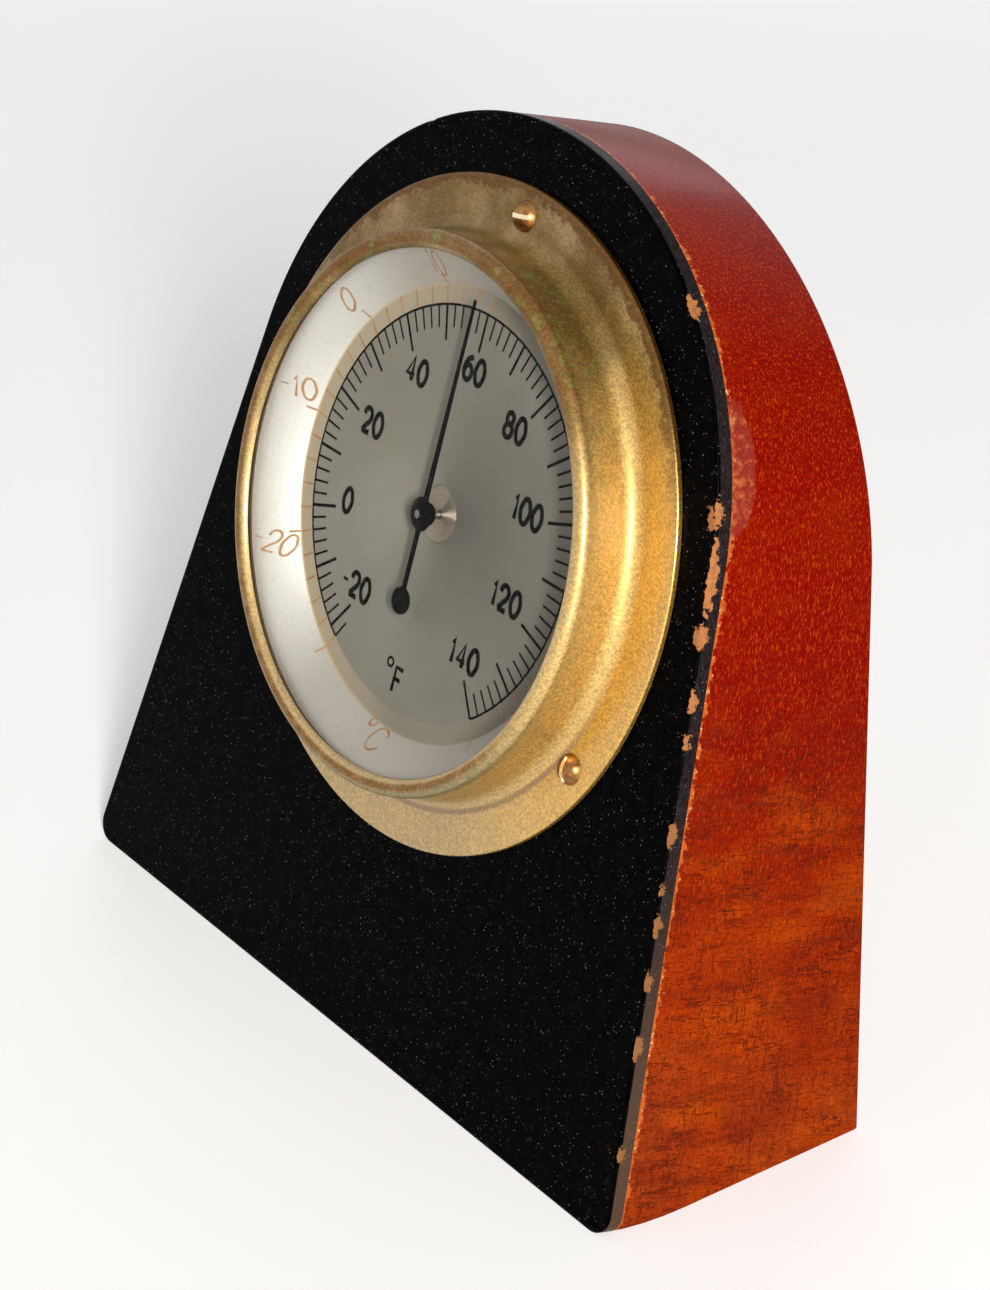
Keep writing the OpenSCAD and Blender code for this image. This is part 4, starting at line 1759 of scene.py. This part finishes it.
@dataclass
class Hub:
    """The glossy domed hub over the spindle, with a ring and a dimple."""

    maker: Maker
    radius: float = 2.3
    low: float = 4.0
    seat: float = 5.2
    dome: float = 1.0
    collar: float = 1.5
    spindle: float = 0.65
    ease_in: float = 0.1
    ease_up: float = 0.06
    steps: int = 96
    sharp: float = 40.0
    ring: tuple[tuple[float, float], ...] = (
        (2.28, 0.0), (2.1, 0.0), (1.9, 0.0), (1.7, 0.0), (1.5, 0.0), (1.36, 0.0), (1.28, 0.07), (1.18, 0.09),
        (1.08, 0.07), (1.0, 0.0), (0.85, 0.0), (0.7, 0.02), (0.65, 0.08),
    )

    def build(self) -> None:
        """Turns the hub: collar, dome with a shallow ring, and the hole for the spindle."""
        dome_r = (self.radius ** 2 + self.dome ** 2) / (2 * self.dome)
        middle = self.seat + self.dome - dome_r
        section = Section(self.spindle, self.low)
        section.go((self.collar, self.low), (self.collar, self.seat),
                   (self.radius - self.ease_in, self.seat), (self.radius, self.seat + self.ease_up))
        section.go(*[(r, middle + math.sqrt(dome_r ** 2 - r ** 2) - sunk) for r, sunk in self.ring])
        bm = section.turn(self.steps)
        obj = self.maker.piece(bm, "domed_hub", Body.POINTER, Finish.ENAMEL, PLACE.dial(), self.sharp)
        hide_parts("pointer_hub")


@dataclass
class Movement:
    """The pieces that keep their CAD shape: glass, case, movement, adjuster and pointer."""

    maker: Maker
    frame: dict[str, Any]
    eased: tuple[tuple[str, Body, Finish, float], ...] = (
        ("window_glass", Body.BLOCK, Finish.GLASS, 0.0),
        ("case_cup", Body.BLOCK, Finish.CASE, 0.12),
        ("centre_bush", Body.BLOCK, Finish.BUSH, 0.06),
        ("pointer", Body.POINTER, Finish.ENAMEL, 0.05),
        ("adjuster", Body.ADJUSTER, Finish.CASE, 0.1),
        ("adjuster_collar", Body.ADJUSTER, Finish.CASE, 0.08),
        ("pillar_screws", Body.BLOCK, Finish.STEEL, 0.05),
    )
    kept: tuple[tuple[Finish, tuple[str, ...]], ...] = (
        (Finish.CARD, ("glass_gasket",)),
        (Finish.INNER, ("dial_studs", "dial_nuts", "movement_plate", "pillars", "bush_nut")),
        (Finish.INNER, ("coil_collet", "coil_stud")),
        (Finish.STEEL, ("spindle", "adjuster_washer")),
        (Finish.BIMETAL, ("bimetal_coil",)),
    )

    def build(self) -> None:
        """Dresses each piece."""
        for node, body, finish, edge in self.eased:
            self.maker.copy(self.frame, node, body, finish, edge)
        for finish, nodes in self.kept:
            for node in nodes:
                mesh = self.frame["nodes"][node].data
                mesh.materials.clear()
                mesh.materials.append(self.maker.finishes.get(finish))
                log.info("node %s", node)


# The studio


@dataclass(frozen=True)
class Lamp:
    """A soft rectangular lamp that looks at the dial."""

    name: str
    place: tuple[float, float, float]
    size: tuple[float, float]
    power: float
    colour: tuple[float, float, float]
    aim: tuple[float, float, float] = (0.0, 0.0, 0.07)

    def build(self) -> None:
        """Hangs the lamp."""
        data = bpy.data.lights.new(self.name, "AREA")
        data.shape, data.energy, data.color = "RECTANGLE", self.power, self.colour
        data.size, data.size_y = self.size
        turn = (Vector(self.aim) - Vector(self.place)).to_track_quat("-Z", "Y").to_matrix().to_4x4()
        show(self.name, data).matrix_world = Matrix.Translation(self.place) @ turn


@dataclass
class Studio:
    """The pale floor, the lamps and the camera."""

    lens: float = 101.398
    eye: tuple[float, float, float] = (0.352496, -0.259405, 0.271058)
    right: tuple[float, float, float] = (0.58818469, 0.80824113, 0.02801848)
    up: tuple[float, float, float] = (-0.37686606, 0.24327557, 0.89374995)
    back: tuple[float, float, float] = (0.71554926, -0.53624926, 0.44768962)
    lamps: tuple[Lamp, ...] = (
        Lamp("key_lamp", (1.06, -0.56, 0.56), (0.14, 0.42), 21.0, (1.0, 0.97, 0.92)),
        Lamp("fill_lamp", (-0.9, -1.1, 1.1), (1.2, 1.2), 1.5, (0.92, 0.96, 1.0)),
        Lamp("rear_lamp", (-1.0, 0.9, 0.9), (1.0, 1.0), 5.0, (0.95, 0.97, 1.0)),
    )
    floor_half: float = 6.0
    floor_grey: float = 0.8
    world: float = 0.2

    def build(self) -> None:
        """Sets the floor, the light and the camera."""
        self._floor()
        self._world()
        for lamp in self.lamps:
            lamp.build()
        self._camera()
        bpy.context.scene.view_settings.view_transform = "Standard"

    def _floor(self) -> None:
        """Lays a wide pale floor that glows a little, brighter far from the object."""
        bm = bmesh.new()
        bmesh.ops.create_grid(bm, x_segments=1, y_segments=1, size=self.floor_half)
        mesh = bpy.data.meshes.new("floor")
        bm.to_mesh(mesh)
        bm.free()
        material = bpy.data.materials.new("pale_floor")
        material.use_nodes = True
        wires = Wires(material.node_tree)
        glow = wires.out("ShaderNodeTexCoord", key="Object").length().step(0.3, 1.6, 0.3, 0.9)
        wires.feed(material.node_tree.nodes["Principled BSDF"], {
            "Base Color": (self.floor_grey, self.floor_grey, self.floor_grey, 1.0),
            "Roughness": 0.8,
            "Emission Color": WHITE,
            "Emission Strength": self._seen(wires) * glow,
        })
        mesh.materials.append(material)
        show("floor", mesh)

    def _seen(self, wires: Wires) -> Value:
        """Tells rays that show the background, straight, in a polish or through glass.

        Args:
            wires: where to add it.
        Returns:
            1 for such a ray, or 0.
        """
        rays = wires.add("ShaderNodeLightPath").outputs
        straight, glossy, through = [Value(wires, rays[f"Is {kind} Ray"])
                                     for kind in ("Camera", "Glossy", "Transmission")]
        return straight.most(glossy.most(through))

    def _world(self) -> None:
        """Sets an even pale surround that shows brighter to the camera than it lights."""
        world = bpy.data.worlds.new("studio")
        bpy.context.scene.world = world
        world.use_nodes = True
        wires = Wires(world.node_tree)
        wires.tree.nodes.clear()
        strength = self._seen(wires) * (1.0 - self.world) + self.world
        light = wires.out("ShaderNodeBackground", {"Color": WHITE, "Strength": strength})
        wires.add("ShaderNodeOutputWorld", {"Surface": light})

    def _camera(self) -> None:
        """Sets the camera as it stood for the photograph."""
        data = bpy.data.cameras.new("camera")
        data.sensor_width, data.sensor_fit, data.lens = 36.0, "AUTO", self.lens
        data.clip_start, data.clip_end = 0.01, 50.0
        camera = show("camera", data)
        turn = Matrix((self.right, self.up, self.back)).transposed().to_4x4()
        camera.matrix_world = Matrix.Translation(self.eye) @ turn
        bpy.context.scene.camera = camera


def main() -> None:
    """Builds the looks of the thermometer in order."""
    logging.basicConfig(level=logging.INFO, format="%(message)s")
    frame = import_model()
    maker = Maker(Finishes())
    WoodenBlock(maker).build()
    FrontPanel(maker).build()
    Bezel(maker).build()
    Dial(maker).build()
    Hub(maker).build()
    BezelScrews(maker, frame).build()
    Movement(maker, frame).build()
    Studio().build()


if __name__ == "__main__":
    main()
